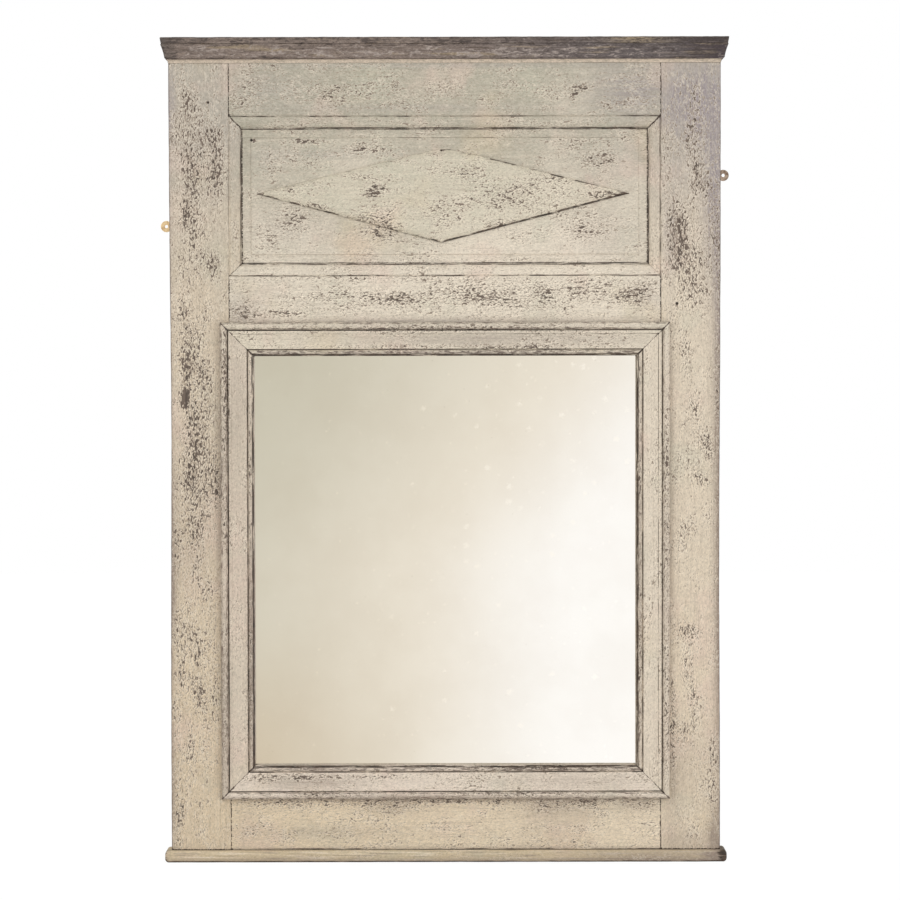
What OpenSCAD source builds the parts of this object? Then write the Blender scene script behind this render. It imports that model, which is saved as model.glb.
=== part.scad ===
// Painted overmantel mirror in the old French manner. Two stiles and three
// rails are joined by pegged tenons. A grooved panel with a raised lozenge
// fills the upper opening, and a planted moulding frames the mirror below.
// X runs across the front, the front faces -Y and Z points up. The origin is
// at the bottom middle of the back, on the plane of the wall. Sizes in mm.

/* [Mirror] */
// Width of the mirror that shows inside the moulding
sight_w = 572; // [450:1:800]
// Height of the mirror that shows inside the moulding
sight_h = 614.5; // [450:0.5:900]
// Thickness of the glass
glass_t = 4; // [3:0.5:6]
// How far the glass runs behind the moulding
glass_lap = 8.5; // [5:0.5:11]
// Room left round the edge of the glass
glass_gap = 1; // [0.5:0.25:2]

/* [Stiles and rails] */
// Thickness of the stiles and rails
frame_t = 32; // [29:0.5:40]
// Width of a stile's flat face
stile_w = 89.5; // [80:0.5:120]
// Height of the bottom rail
bottom_rail_h = 90.5; // [75:0.5:130]
// Height of the middle rail's flat face
middle_rail_h = 82; // [70:0.5:120]
// Height of the top rail's flat face
top_rail_h = 78; // [65:0.5:120]

/* [Tenons and pegs] */
// Thickness of a tenon
tenon_t = 10; // [8:0.5:12]
// Length of a tenon
tenon_l = 60; // [45:1:70]
// How far a tenon's edges lie inside its rail's face
tenon_set = 9; // [6:0.5:12]
// Room round a tenon in its mortise
tenon_gap = 0.2; // [0.1:0.05:0.4]
// Diameter of a peg
peg_d = 8; // [6:0.5:9]
// Wood left in front of a peg
peg_skin = 6; // [4:0.5:8]
// Room round a peg, pin, nail or screw in its hole
hole_gap = 0.1; // [0.05:0.05:0.2]

/* [Panel] */
// Height of the panel that shows between the rails
panel_h = 202; // [150:0.5:300]
// Width of the moulding cut on the frame's edges round the panel
stick_w = 19; // [15:0.5:24]
// Depth from the frame's face to the foot of that moulding
stick_drop = 6.5; // [5:0.5:7]
// Thickness of the panel's edge
panel_t = 8; // [6:0.5:9]
// Depth from the frame's face to the panel's margin
panel_set = 9; // [8:0.25:10]
// How far the panel's edge enters its groove
panel_lap = 9; // [7:0.5:12]
// Room beyond the panel's edge in its groove
panel_room = 1; // [0.5:0.25:1.5]
// Play between the panel and the sides of its groove
panel_play = 0.2; // [0.1:0.05:0.3]
// Width of the margin round the raised field
margin_w = 14; // [10:0.5:20]
// How far the field stands above the margin
field_rise = 1.5; // [1:0.25:2.5]

/* [Lozenge] */
// Width of the lozenge from tip to tip
lozenge_w = 558; // [400:1:570]
// Height of the lozenge
lozenge_h = 140; // [90:1:160]
// Distance of its middle from the middle of the panel
lozenge_shift = -2.5; // [-5:0.5:5]
// How far its two tips lie above its middle
tip_rise = 3.5; // [0:0.5:6]
// Thickness of the lozenge
lozenge_t = 6; // [4:0.5:8]
// Width of its bevelled edge
bevel_w = 6.5; // [4:0.5:10]
// Thickness left at the foot of the bevel
bevel_foot = 2; // [1:0.25:3]

/* [Planted moulding] */
// Width of the sloped sight edge
sight_edge_w = 2.2; // [1.5:0.1:3.5]
// Width of the inner bead
inner_bead_w = 7; // [5:0.5:9]
// Width of a sunk line beside a bead
quirk_w = 1.3; // [1:0.1:2]
// Width of the broad hollow
hollow_w = 22.7; // [16:0.1:30]
// Width of the fillet beside the outer bead
fillet_w = 4.5; // [3:0.1:6]
// Width of the outer bead
outer_bead_w = 11.5; // [9:0.5:13]
// How far the moulding rests on the face of the frame
lip_w = 13.5; // [13:0.5:18]
// Depth of the glass behind the face of the frame
glass_set = 10; // [8:0.5:11]
// Room between the moulding and the edge of its opening
mould_gap = 0.3; // [0.1:0.1:0.5]

/* [Cornice and nosing] */
// Height of the cornice moulding
cornice_h = 28; // [24:0.5:40]
// How far the cornice moulding stands out at its top
cornice_out = 10.3; // [8:0.1:12]
// How far its middle member stands out
cornice_mid_out = 5.3; // [4:0.1:7]
// Height of its small lower member
cornice_foot_h = 9; // [6:0.5:12]
// How far its cove sinks behind a straight slope
cove_sink = 0.5; // [0.2:0.1:1.5]
// Thickness of the cornice moulding behind the frame's face
cornice_wall = 18; // [14:0.5:20]
// Thickness of the board on top
top_board_t = 10; // [9:0.5:16]
// How far the board on top stands out
top_board_out = 11.5; // [10:0.5:16]
// Thickness of the nosing at the foot
nosing_t = 18.4; // [16:0.1:26]
// How far the nosing stands out
nosing_out = 9; // [8:0.5:16]
// Radius of its rounded edges
nosing_round = 5; // [3:0.5:8]

/* [Back] */
// Thickness of the back boards
back_t = 8; // [6:0.5:9]
// Number of back boards
back_boards = 4; // [4]
// How far the back boards lap onto the frame
back_lap = 11; // [9:0.5:13]
// Room round and between the back boards
back_gap = 0.8; // [0.4:0.1:1.5]
// Length of a block that holds the glass
block_l = 40; // [25:1:60]
// Width of such a block
block_w = 12; // [9:0.5:16]

/* [Nails] */
// Diameter of a back board nail
nail_d = 2; // [1.6:0.1:2.4]
// Length of a back board nail under its head
nail_l = 19; // [15:0.5:20]
// Diameter of its head
nail_head_d = 5; // [4:0.5:6]
// Thickness of its head
nail_head_t = 1; // [0.8:0.1:1.2]
// Diameter of a pin in the planted moulding
pin_d = 1.6; // [1.2:0.1:2]
// Depth of such a pin in the frame
pin_depth = 8; // [6:0.5:10]
// Diameter of a long cut nail
long_nail_d = 3; // [2.5:0.1:3.5]
// Length of a long cut nail
long_nail_l = 55; // [45:1:60]
// Depth of a long nail's head below the surface
punch = 1.5; // [1:0.25:2.5]
// Distance of the outermost nosing nails from the stile's side
nosing_nail_edge = 30; // [20:1:45]
// Distance of the outermost core nails from the stile's side
core_nail_edge = 45; // [35:1:55]
// Distance of the outermost nails of the top board from the stile's side
cap_nail_edge = 62; // [56:1:80]

/* [Hanging plates] */
// Distance of the left hanging hole below the top of its stile
left_plate_drop = 241.8; // [210:0.1:270]
// Distance of the right hanging hole below the top of its stile
right_plate_drop = 166.5; // [140:0.1:195]
// Thickness of a plate
plate_t = 1.5; // [1:0.1:2]
// Diameter of a plate's round ear
ear_d = 17; // [14:0.5:20]
// How far the ear's middle lies outside the stile
ear_out = 6.25; // [5:0.25:8]
// Diameter of the hanging hole
hang_hole_d = 5; // [4:0.25:5.5]
// Length of the plate from the ear's middle
plate_l = 34; // [30:0.5:40]
// Height of the plate where it is screwed on
plate_h = 36; // [30:0.5:44]
// Distance between the two screws of a plate
screw_pitch = 22; // [18:0.5:26]
// Diameter of a screw
screw_d = 3.5; // [3:0.1:4]
// Diameter of a screw's head
screw_head_d = 6.6; // [6:0.1:7.5]
// Length of a screw
screw_l = 20; // [16:0.5:24]

/* [Hidden] */

// Colours as the surfaces look
paint = [0.80, 0.74, 0.64];
pale_paint = [0.84, 0.79, 0.70];
worn_paint = [0.47, 0.42, 0.40];
raw_wood = [0.62, 0.49, 0.35];
silvered = [0.86, 0.86, 0.83];
brass = [0.70, 0.58, 0.33];
iron = [0.30, 0.28, 0.26];

// A little extra, so that a cut runs clean through what it cuts
over = 1;

// Widths across the frame
mould_w = sight_edge_w + inner_bead_w + 2 * quirk_w + hollow_w + fillet_w + outer_bead_w;
opening_edge = mould_w - lip_w;
opening_w = sight_w + 2 * opening_edge;
opening_h = sight_h + 2 * opening_edge;
body_w = opening_w + 2 * stile_w;
panel_w = opening_w - 2 * stick_w;

// Heights from the underside of the nosing
frame_z = nosing_t;
opening_z = frame_z + bottom_rail_h;
middle_z = opening_z + opening_h;
stick_z = middle_z + middle_rail_h;
panel_z = stick_z + stick_w;
stick_top_z = panel_z + panel_h + stick_w;
top_z = stick_top_z + top_rail_h;
stile_h = top_z - frame_z;
sight_mid_z = opening_z + opening_h / 2;
panel_mid_z = panel_z + panel_h / 2;

// Depths behind the face of the frame
rebate_d = back_t + nail_head_t;
tongue_back = frame_t - rebate_d - mould_gap;
block_t = tongue_back - glass_set - glass_t;
groove_t = panel_t + 2 * panel_play;

// Heights of the planted moulding's members above the face of the frame
sight_rise = 2;
inner_bead_rise = 6.6;
quirk_rise = 3.4;
hollow_rise = 6.2;
fillet_rise = 10.2;
outer_bead_rise = 12.3;

// Marks a row of places: how many, and between which ends
function row(count, low, high) = [for (i = [0 : count - 1]) low + (high - low) * i / (count - 1)];

// Runs a section along X, centred. The section's x is Y and its y is Z
module along_x(length) {
    translate([-length / 2, 0, 0])
        rotate([90, 0, 90])
            linear_extrude(length)
                children();
}

// Runs a section from Y = 0 to the front. The section's x is X and its y is Z
module along_y(length) {
    rotate([90, 0, 0])
        linear_extrude(length)
            children();
}

// A round rod from a point of the back plane towards the front
module rod_to_front(x, z, y_back, length, d) {
    translate([x, y_back, z])
        rotate([90, 0, 0])
            cylinder(d = d, h = length, $fn = 32);
}

// Tenons and mortises. Each rail has one tenon at each end
rail_faces = [
    [frame_z, bottom_rail_h],
    [middle_z, middle_rail_h],
    [stick_top_z, top_rail_h]
];

module tenon_pair(rail, gap) {
    low = rail_faces[rail][0] + tenon_set - gap;
    height = rail_faces[rail][1] - 2 * tenon_set + 2 * gap;
    length = opening_w + 2 * tenon_l + 2 * gap;
    translate([-length / 2, -frame_t / 2 - tenon_t / 2 - gap, low])
        cube([length, tenon_t + 2 * gap, height]);
}

// Two pegs cross each tenon from the back
function peg_places() = [
    for (rail = rail_faces, side = [-1, 1], part = [-1, 1])
        [
            side * (opening_w / 2 + tenon_l * 0.45),
            rail[0] + rail[1] / 2 + part * (rail[1] - 2 * tenon_set) * 0.22
        ]
];

module pegs(gap) {
    for (p = peg_places())
        rod_to_front(p[0], p[1], gap > 0 ? over : 0, frame_t - peg_skin + (gap > 0 ? over + gap : 0), peg_d + 2 * gap);
}

// The groove that the panel sits in, as one slot through all five pieces
module panel_groove() {
    reach = panel_lap + panel_room;
    translate([-panel_w / 2 - reach, -frame_t + panel_set - panel_play, panel_z - reach])
        cube([panel_w + 2 * reach, groove_t, panel_h + 2 * reach]);
}

// The rebate that the back boards sit in
module back_rebate() {
    reach = back_lap + back_gap;
    translate([-opening_w / 2 - reach, -rebate_d, opening_z - reach])
        cube([opening_w + 2 * reach, rebate_d + over, opening_h + 2 * reach]);
}

// Section of the moulding cut on the frame's edge. It starts at the panel's
// opening and runs outwards to the flat face: a sloping ovolo, a bead and a
// sunk line. Its y is the height above the back of the frame
stick_bead_r = 2.3;
stick_quirk = 1.1;
stick_toe = 1.6;
ovolo_w = stick_w - stick_quirk - 2 * stick_bead_r - stick_toe;
ovolo_h = stick_drop - stick_bead_r;
module stick_section() {
    polygon(concat(
        [[0, 0], [0, frame_t - stick_drop]],
        [for (a = [0 : 15 : 90]) [stick_toe + ovolo_w * (1 - cos(a)), frame_t - stick_drop + ovolo_h * sin(a)]],
        [
            [stick_w - stick_quirk, frame_t - stick_bead_r],
            [stick_w - stick_quirk, frame_t - 1.2],
            [stick_w, frame_t],
            [stick_w + over, frame_t],
            [stick_w + over, 0]
        ]
    ));
    translate([stick_w - stick_quirk - stick_bead_r, frame_t - stick_bead_r - 0.2])
        circle(r = stick_bead_r, $fn = 24);
}

// One side of the moulding round the panel, mitred at both ends. It runs
// along X at the opening's edge and widens towards +Z, where it runs on
// into its rail or stile by the overlap, as one piece of wood
module stick_side(length) {
    intersection() {
        along_x(length + 2 * stick_w)
            rotate(90)
                stick_section();
        along_y(frame_t + over)
            polygon([
                [-length / 2, 0],
                [length / 2, 0],
                [length / 2 + stick_w, stick_w],
                [length / 2 + stick_w, stick_w + over],
                [-length / 2 - stick_w, stick_w + over],
                [-length / 2 - stick_w, stick_w]
            ]);
    }
}

// Planted moulding: the section from the sight edge outwards, with its y
// above the face of the frame. A lip lies on the face, a tongue fills the
// edge of the opening, and the glass lies behind the sight edge
module mould_section() {
    bead_x = sight_edge_w;
    quirk_x = bead_x + inner_bead_w;
    hollow_x = quirk_x + quirk_w;
    fillet_x = hollow_x + hollow_w;
    groove_x = fillet_x + fillet_w;
    outer_x = groove_x + quirk_w;
    glass_x = glass_lap + glass_gap;
    inner_r = inner_bead_w / 2;
    outer_r = outer_bead_w / 2;
    polygon(concat(
        [
            [0, -glass_set],
            [0, sight_rise],
            [bead_x, quirk_rise],
            [quirk_x + quirk_w, quirk_rise]
        ],
        [for (i = [0 : 6]) [hollow_x + hollow_w * i / 6, hollow_rise + 3.2 * i / 6 - 1.1 * sin(30 * i)]],
        [
            [fillet_x, fillet_rise],
            [groove_x, fillet_rise],
            [groove_x, outer_bead_rise - outer_r],
            [mould_w, outer_bead_rise - outer_r],
            [mould_w, 0],
            [opening_edge - mould_gap, 0],
            [opening_edge - mould_gap, -tongue_back],
            [glass_x, -tongue_back],
            [glass_x, -glass_set]
        ]
    ));
    translate([bead_x + inner_r, inner_bead_rise - inner_r])
        circle(r = inner_r, $fn = 32);
    translate([outer_x + outer_r, outer_bead_rise - outer_r])
        circle(r = outer_r, $fn = 48);
}

// Pins of the planted moulding go through the outer bead into the frame
pin_from_outside = outer_bead_w / 2;
pin_head_rise = outer_bead_rise - 0.5;
function pin_places() = let (across = mould_w - pin_from_outside)
    concat(
        [for (x = row(4, -sight_w * 0.53, sight_w * 0.53), side = [-1, 1])
            [x, sight_mid_z + side * (sight_h / 2 + across)]],
        [for (z = row(5, -sight_h * 0.53, sight_h * 0.53), side = [-1, 1])
            [side * (sight_w / 2 + across), sight_mid_z + z]]
    );

module pins(gap) {
    for (p = pin_places())
        rod_to_front(
            p[0], p[1], -frame_t + pin_depth + gap,
            pin_depth + pin_head_rise + gap + (gap > 0 ? 2 * over : 0), pin_d + 2 * gap
        );
}

// One side of the planted moulding: length at the sight edge, distance of
// that edge from the mirror's middle, and turn about the mirror's middle
module mould_side(length, distance, turn) {
    difference() {
        translate([0, -frame_t, sight_mid_z])
            rotate([0, turn, 0])
                translate([0, 0, distance])
                    intersection() {
                        along_x(length + 2 * mould_w)
                            rotate(90)
                                mould_section();
                        translate([0, frame_t, 0])
                            along_y(2 * frame_t)
                                polygon([
                                    [-length / 2, 0],
                                    [length / 2, 0],
                                    [length / 2 + mould_w, mould_w],
                                    [-length / 2 - mould_w, mould_w]
                                ]);
                    }
        pins(hole_gap);
    }
}

// Back boards run across the back, one above another
board_w = opening_w + 2 * back_lap;
boards_h = opening_h + 2 * back_lap;
board_h = (boards_h - (back_boards - 1) * back_gap) / back_boards;
function board_z(i) = opening_z - back_lap + i * (board_h + back_gap);
function board_nail_places(i) = [
    for (side = [-1, 1], part = [0.25, 0.75])
        [side * (opening_w / 2 + back_lap / 2), board_z(i) + board_h * part]
];

module board_nail_shanks(gap) {
    for (i = [0 : back_boards - 1], p = board_nail_places(i))
        rod_to_front(
            p[0], p[1], gap > 0 ? over : -nail_head_t / 2,
            nail_l + nail_head_t / 2 + (gap > 0 ? over + nail_head_t / 2 + gap : 0), nail_d + 2 * gap
        );
}

module back_board(i) {
    difference() {
        translate([-board_w / 2, -rebate_d, board_z(i)])
            cube([board_w, back_t, board_h]);
        board_nail_shanks(hole_gap);
    }
}

// Hanging plates, seen from the front as an outline round the ear's middle,
// with the plate running towards +X. The ear's arc ends at a neck, which the
// stile hides, and straight sides go on from there to the plate's shoulders
ear_neck_turn = 40;
module plate_outline(grow) {
    r = ear_d / 2 + grow;
    shoulder = [plate_l * 0.5, plate_h / 2 + grow];
    first = ear_neck_turn;
    step = (360 - 2 * first) / 16;
    polygon(concat(
        [for (i = [0 : 16]) [r * cos(first + step * i), r * sin(first + step * i)]],
        [
            [shoulder[0], -shoulder[1]],
            [plate_l + grow, -shoulder[1]],
            [plate_l + grow, shoulder[1]],
            shoulder
        ]
    ));
}

plate_x = body_w / 2 + ear_out;
screw_x = plate_x - plate_l * 0.78;
plate_heights = [[-1, top_z - left_plate_drop], [1, top_z - right_plate_drop]];

// Puts a plate's outline at one side, from the back plane to a depth
module plate_at(side, z, depth, grow) {
    translate([side * plate_x, 0, z])
        mirror([side > 0 ? 1 : 0, 0, 0])
            along_y(depth)
                plate_outline(grow);
}

module plate_recesses() {
    for (p = plate_heights)
        translate([0, over, 0])
            plate_at(p[0], p[1], plate_t + hole_gap + over, hole_gap);
}

function screw_places() = [
    for (p = plate_heights, part = [-1, 1])
        [p[0] * screw_x, p[1] + part * screw_pitch / 2]
];

// Countersunk screws: a cone flush with the plate, then the shank
module screws(gap) {
    sink = (screw_head_d - screw_d) / 2;
    for (p = screw_places()) {
        rod_to_front(p[0], p[1], -sink / 2, screw_l - sink / 2 + gap, screw_d + 2 * gap);
        translate([p[0], 0, p[1]])
            rotate([90, 0, 0])
                cylinder(d1 = screw_head_d + 2 * gap, d2 = screw_d + 2 * gap, h = sink, $fn = 32);
    }
}

module hanging_plate(index) {
    p = plate_heights[index];
    difference() {
        color(brass)
            plate_at(p[0], p[1], plate_t, 0);
        translate([p[0] * plate_x, over, p[1]])
            rotate([90, 0, 0])
                cylinder(d = hang_hole_d, h = plate_t + 2 * over, $fn = 64);
        screws(hole_gap);
    }
}

// Long cut nails of the nosing go up into the stiles and the bottom rail
nosing_nail_x = row(5, -body_w / 2 + nosing_nail_edge, body_w / 2 - nosing_nail_edge);
module nosing_nail_rods(gap) {
    for (x = nosing_nail_x)
        translate([x, -frame_t / 2, gap > 0 ? -over : punch])
            cylinder(d = long_nail_d + 2 * gap, h = long_nail_l + gap + (gap > 0 ? punch + over : 0), $fn = 32);
}

// Nails of the cornice: through the core into the top rail and the stiles,
// and through the top board into the mouldings
core_y = -(frame_t - cornice_wall) / 2;
board_nail_y = -frame_t + cornice_wall / 2;
core_nail_x = row(4, -body_w / 2 + core_nail_edge, body_w / 2 - core_nail_edge);
cap_nail_x = row(5, -body_w / 2 + cap_nail_edge, body_w / 2 - cap_nail_edge);
cap_nail_l = top_board_t + cornice_h * 0.75;
module cornice_nail_rods(gap) {
    top = top_z + cornice_h;
    for (x = core_nail_x)
        translate([x, core_y, top - long_nail_l - gap])
            cylinder(d = long_nail_d + 2 * gap, h = long_nail_l + gap + (gap > 0 ? over : -punch), $fn = 32);
    for (p = concat([for (x = cap_nail_x) [x, board_nail_y]], [for (side = [-1, 1]) [side * (body_w / 2 - cornice_wall / 2), core_y]]))
        translate([p[0], p[1], top + top_board_t - cap_nail_l - gap])
            cylinder(d = nail_d + 2 * gap, h = cap_nail_l + gap + (gap > 0 ? over : -punch), $fn = 32);
}

// Stiles
module left_stile_solid() {
    difference() {
        union() {
            translate([-body_w / 2, -frame_t, frame_z])
                cube([stile_w, frame_t, stile_h]);
            translate([-panel_w / 2, 0, panel_mid_z])
                rotate([0, -90, 0])
                    stick_side(panel_h);
        }
        panel_groove();
        back_rebate();
    }
}

module stile_cuts() {
    for (rail = [0 : 2])
        tenon_pair(rail, tenon_gap);
    pegs(hole_gap);
    pins(hole_gap);
    board_nail_shanks(hole_gap);
    plate_recesses();
    screws(hole_gap);
    nosing_nail_rods(hole_gap);
    cornice_nail_rods(hole_gap);
}

module left_stile() {
    color(paint)
        difference() {
            left_stile_solid();
            stile_cuts();
        }
}

module right_stile() {
    color(paint)
        difference() {
            mirror([1, 0, 0])
                left_stile_solid();
            stile_cuts();
        }
}

// Rails
module rail_body(rail) {
    translate([-opening_w / 2, -frame_t, rail_faces[rail][0]])
        cube([opening_w, frame_t, rail_faces[rail][1]]);
    tenon_pair(rail, 0);
}

module bottom_rail() {
    color(paint)
        difference() {
            rail_body(0);
            back_rebate();
            pegs(hole_gap);
            pins(hole_gap);
            nosing_nail_rods(hole_gap);
        }
}

module middle_rail() {
    color(paint)
        difference() {
            union() {
                rail_body(1);
                translate([0, 0, panel_z])
                    rotate([0, 180, 0])
                        stick_side(panel_w);
            }
            back_rebate();
            panel_groove();
            pegs(hole_gap);
            pins(hole_gap);
        }
}

module top_rail() {
    color(paint)
        difference() {
            union() {
                rail_body(2);
                translate([0, 0, panel_z + panel_h])
                    stick_side(panel_w);
            }
            panel_groove();
            pegs(hole_gap);
            cornice_nail_rods(hole_gap);
        }
}

// Panel with its raised field
module upper_panel() {
    field_w = panel_w - 2 * margin_w;
    field_h = panel_h - 2 * margin_w;
    color(paint) {
        translate([-panel_w / 2 - panel_lap, -frame_t + panel_set, panel_z - panel_lap])
            cube([panel_w + 2 * panel_lap, panel_t, panel_h + 2 * panel_lap]);
        translate([-field_w / 2, -frame_t + panel_set - field_rise, panel_mid_z - field_h / 2])
            cube([field_w, panel_t, field_h]);
    }
}

// What is planed off one upper side of the lozenge: a wedge along the line
// from the tip at the right to the top
module bevel_waste(tip_z) {
    side_h = lozenge_h / 2 - tip_z;
    side_l = norm([lozenge_w / 2, side_h]);
    translate([lozenge_w / 2, -bevel_foot, tip_z])
        rotate([0, atan2(side_h, lozenge_w / 2), 0])
            rotate([atan2(lozenge_t - bevel_foot, bevel_w), 0, 0])
                translate([-side_l - lozenge_h, -lozenge_t * 2, -lozenge_t])
                    cube([side_l + 2 * lozenge_h, lozenge_t * 2, 4 * lozenge_t]);
}

// Bevelled lozenge: a flat top, with four slopes down to a thin edge
module lozenge() {
    tip_x = lozenge_w / 2;
    color(pale_paint)
        translate([lozenge_shift, -frame_t + panel_set - field_rise, panel_mid_z])
            difference() {
                along_y(lozenge_t)
                    polygon([[-tip_x, tip_rise], [0, lozenge_h / 2], [tip_x, tip_rise], [0, -lozenge_h / 2]]);
                for (flip_x = [0, 1], flip_z = [0, 1])
                    mirror([flip_x, 0, 0])
                        mirror([0, 0, flip_z])
                            bevel_waste(flip_z == 0 ? tip_rise : -tip_rise);
            }
}

// Planted moulding, one module a side
module moulding_top() {
    color(pale_paint)
        mould_side(sight_w, sight_h / 2, 0);
}

module moulding_bottom() {
    color(pale_paint)
        mould_side(sight_w, sight_h / 2, 180);
}

module moulding_left() {
    color(pale_paint)
        mould_side(sight_h, sight_w / 2, -90);
}

module moulding_right() {
    color(pale_paint)
        mould_side(sight_h, sight_w / 2, 90);
}

// Cornice moulding: the section's x is the distance out from the frame's
// face and its y the height above the frame. From the top: a fillet, a
// shallow cove, a narrow fillet and a small reversed curve
module cornice_section() {
    cove_h = cornice_h - cornice_foot_h - 2;
    cove_out = cornice_out - cornice_mid_out;
    foot_out = 0.6;
    foot_curve_h = cornice_foot_h - 3;
    polygon(concat(
        [[-cornice_wall, 0], [-cornice_wall, cornice_h], [cornice_out, cornice_h]],
        [for (i = [6 : -1 : 0]) [
            cornice_mid_out + cove_out * i / 6 - cove_sink * sin(30 * i),
            cornice_foot_h + cove_h * i / 6
        ]],
        [for (i = [0 : 6]) [
            cornice_mid_out - (cornice_mid_out - foot_out) * (1 - cos(30 * i)) / 2,
            cornice_foot_h - 1 - foot_curve_h * i / 6
        ]],
        [[foot_out, 1], [0, 0]]
    ));
}

// The corner's mitre plane passes through the frame's front corner
module cornice_front() {
    half = body_w / 2;
    reach = cornice_out + over;
    color(worn_paint)
        difference() {
            intersection() {
                translate([0, -frame_t, top_z])
                    along_x(body_w + 2 * reach)
                        mirror([1, 0])
                            cornice_section();
                translate([0, 0, top_z - over])
                    linear_extrude(cornice_h + 2 * over)
                        polygon([
                            [-half - reach, -frame_t - reach],
                            [half + reach, -frame_t - reach],
                            [half - cornice_wall, -frame_t + cornice_wall],
                            [-half + cornice_wall, -frame_t + cornice_wall]
                        ]);
            }
            cornice_nail_rods(hole_gap);
        }
}

module cornice_return(side) {
    half = body_w / 2;
    reach = cornice_out + over;
    color(worn_paint)
        difference() {
            mirror([side < 0 ? 1 : 0, 0, 0])
                intersection() {
                    translate([half, 0, top_z])
                        along_y(frame_t + reach)
                            cornice_section();
                    translate([0, 0, top_z - over])
                        linear_extrude(cornice_h + 2 * over)
                            polygon([
                                [half - cornice_wall, 0],
                                [half + reach, 0],
                                [half + reach, -frame_t - reach],
                                [half - cornice_wall, -frame_t + cornice_wall]
                            ]);
                }
            cornice_nail_rods(hole_gap);
        }
}

module cornice_return_left() {
    cornice_return(-1);
}

module cornice_return_right() {
    cornice_return(1);
}

// Core block behind the cornice mouldings
module cornice_core() {
    core_w = body_w - 2 * cornice_wall;
    color(raw_wood)
        difference() {
            translate([-core_w / 2, -frame_t + cornice_wall, top_z])
                cube([core_w, frame_t - cornice_wall, cornice_h]);
            cornice_nail_rods(hole_gap);
        }
}

// Board on top of the cornice, its edges leaning in a little underneath
module board_edge(half, lean, soft) {
    polygon([
        [-half + lean, 0], [-half, top_board_t - soft], [-half + soft, top_board_t],
        [half - soft, top_board_t], [half, top_board_t - soft], [half - lean, 0]
    ]);
}

module cornice_top_board() {
    lean = 1;
    soft = 1.5;
    depth = frame_t + top_board_out;
    color(worn_paint)
        difference() {
            translate([0, 0, top_z + cornice_h])
                intersection() {
                    along_y(depth)
                        board_edge(body_w / 2 + top_board_out, lean, soft);
                    along_x(body_w + 2 * top_board_out)
                        polygon([
                            [-depth + lean, 0], [-depth, top_board_t - soft], [-depth + soft, top_board_t],
                            [0, top_board_t], [0, 0]
                        ]);
                }
            cornice_nail_rods(hole_gap);
        }
}

// Section of the nosing: a bar with its two front edges rounded. Its x runs
// out from the back plane and its y up from the underside
module nosing_section(reach) {
    square([reach - nosing_round, nosing_t]);
    translate([0, nosing_round])
        square([reach, nosing_t - 2 * nosing_round]);
    for (y = [nosing_round, nosing_t - nosing_round])
        translate([reach - nosing_round, y])
            circle(r = nosing_round, $fn = 48);
}

// Nosing at the foot, rounded at the front and at both ends
module base_nosing() {
    depth = frame_t + nosing_out;
    width = body_w + 2 * nosing_out;
    color(paint)
        difference() {
            intersection() {
                along_y(depth)
                    for (side = [0, 1])
                        mirror([side, 0])
                            nosing_section(width / 2);
                along_x(width)
                    mirror([1, 0])
                        nosing_section(depth);
            }
            nosing_nail_rods(hole_gap);
        }
}

// Mirror glass, silvered on its back
module mirror_glass() {
    width = sight_w + 2 * glass_lap;
    height = sight_h + 2 * glass_lap;
    color(silvered)
        translate([-width / 2, -frame_t + glass_set, sight_mid_z - height / 2])
            cube([width, glass_t, height]);
}

// Blocks glued to the moulding's tongue, each bearing on the glass
module glass_blocks() {
    inner = glass_lap + glass_gap;
    y = -frame_t + glass_set + glass_t;
    color(raw_wood) {
        for (side = [-1, 1], z = row(3, -sight_h * 0.36, sight_h * 0.36))
            translate([side * (sight_w / 2 + inner - block_w / 2) - block_w / 2, y, sight_mid_z + z - block_l / 2])
                cube([block_w, block_t, block_l]);
        for (side = [-1, 1], x = row(2, -sight_w * 0.3, sight_w * 0.3))
            translate([x - block_l / 2, y, sight_mid_z + side * (sight_h / 2 + inner - block_w / 2) - block_w / 2])
                cube([block_l, block_t, block_w]);
    }
}

module back_board_1() {
    color(raw_wood) back_board(0);
}

module back_board_2() {
    color(raw_wood) back_board(1);
}

module back_board_3() {
    color(raw_wood) back_board(2);
}

module back_board_4() {
    color(raw_wood) back_board(3);
}

module hanging_plate_left() {
    hanging_plate(0);
}

module hanging_plate_right() {
    hanging_plate(1);
}

module plate_screws() {
    color(iron) screws(0);
}

module joint_pegs() {
    color(raw_wood) pegs(0);
}

module back_board_nails() {
    color(iron) {
        board_nail_shanks(0);
        for (i = [0 : back_boards - 1], p = board_nail_places(i))
            rod_to_front(p[0], p[1], 0, nail_head_t, nail_head_d);
    }
}

module moulding_pins() {
    color(iron) pins(0);
}

module cornice_nails() {
    color(iron) cornice_nail_rods(0);
}

module nosing_nails() {
    color(iron) nosing_nail_rods(0);
}

left_stile();
right_stile();
top_rail();
middle_rail();
bottom_rail();
upper_panel();
lozenge();
moulding_top();
moulding_bottom();
moulding_left();
moulding_right();
cornice_front();
cornice_return_left();
cornice_return_right();
cornice_core();
cornice_top_board();
base_nosing();
mirror_glass();
glass_blocks();
back_board_1();
back_board_2();
back_board_3();
back_board_4();
hanging_plate_left();
hanging_plate_right();
plate_screws();
joint_pegs();
back_board_nails();
moulding_pins();
cornice_nails();
nosing_nails();
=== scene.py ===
# Painted overmantel mirror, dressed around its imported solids. The pieces come
# in the order in which the mirror is put together, and the room comes last.
# Lengths of the wood are millimetres until its mesh is made, all others metres.
import math

import bmesh
import bpy
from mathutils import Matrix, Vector, noise


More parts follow.
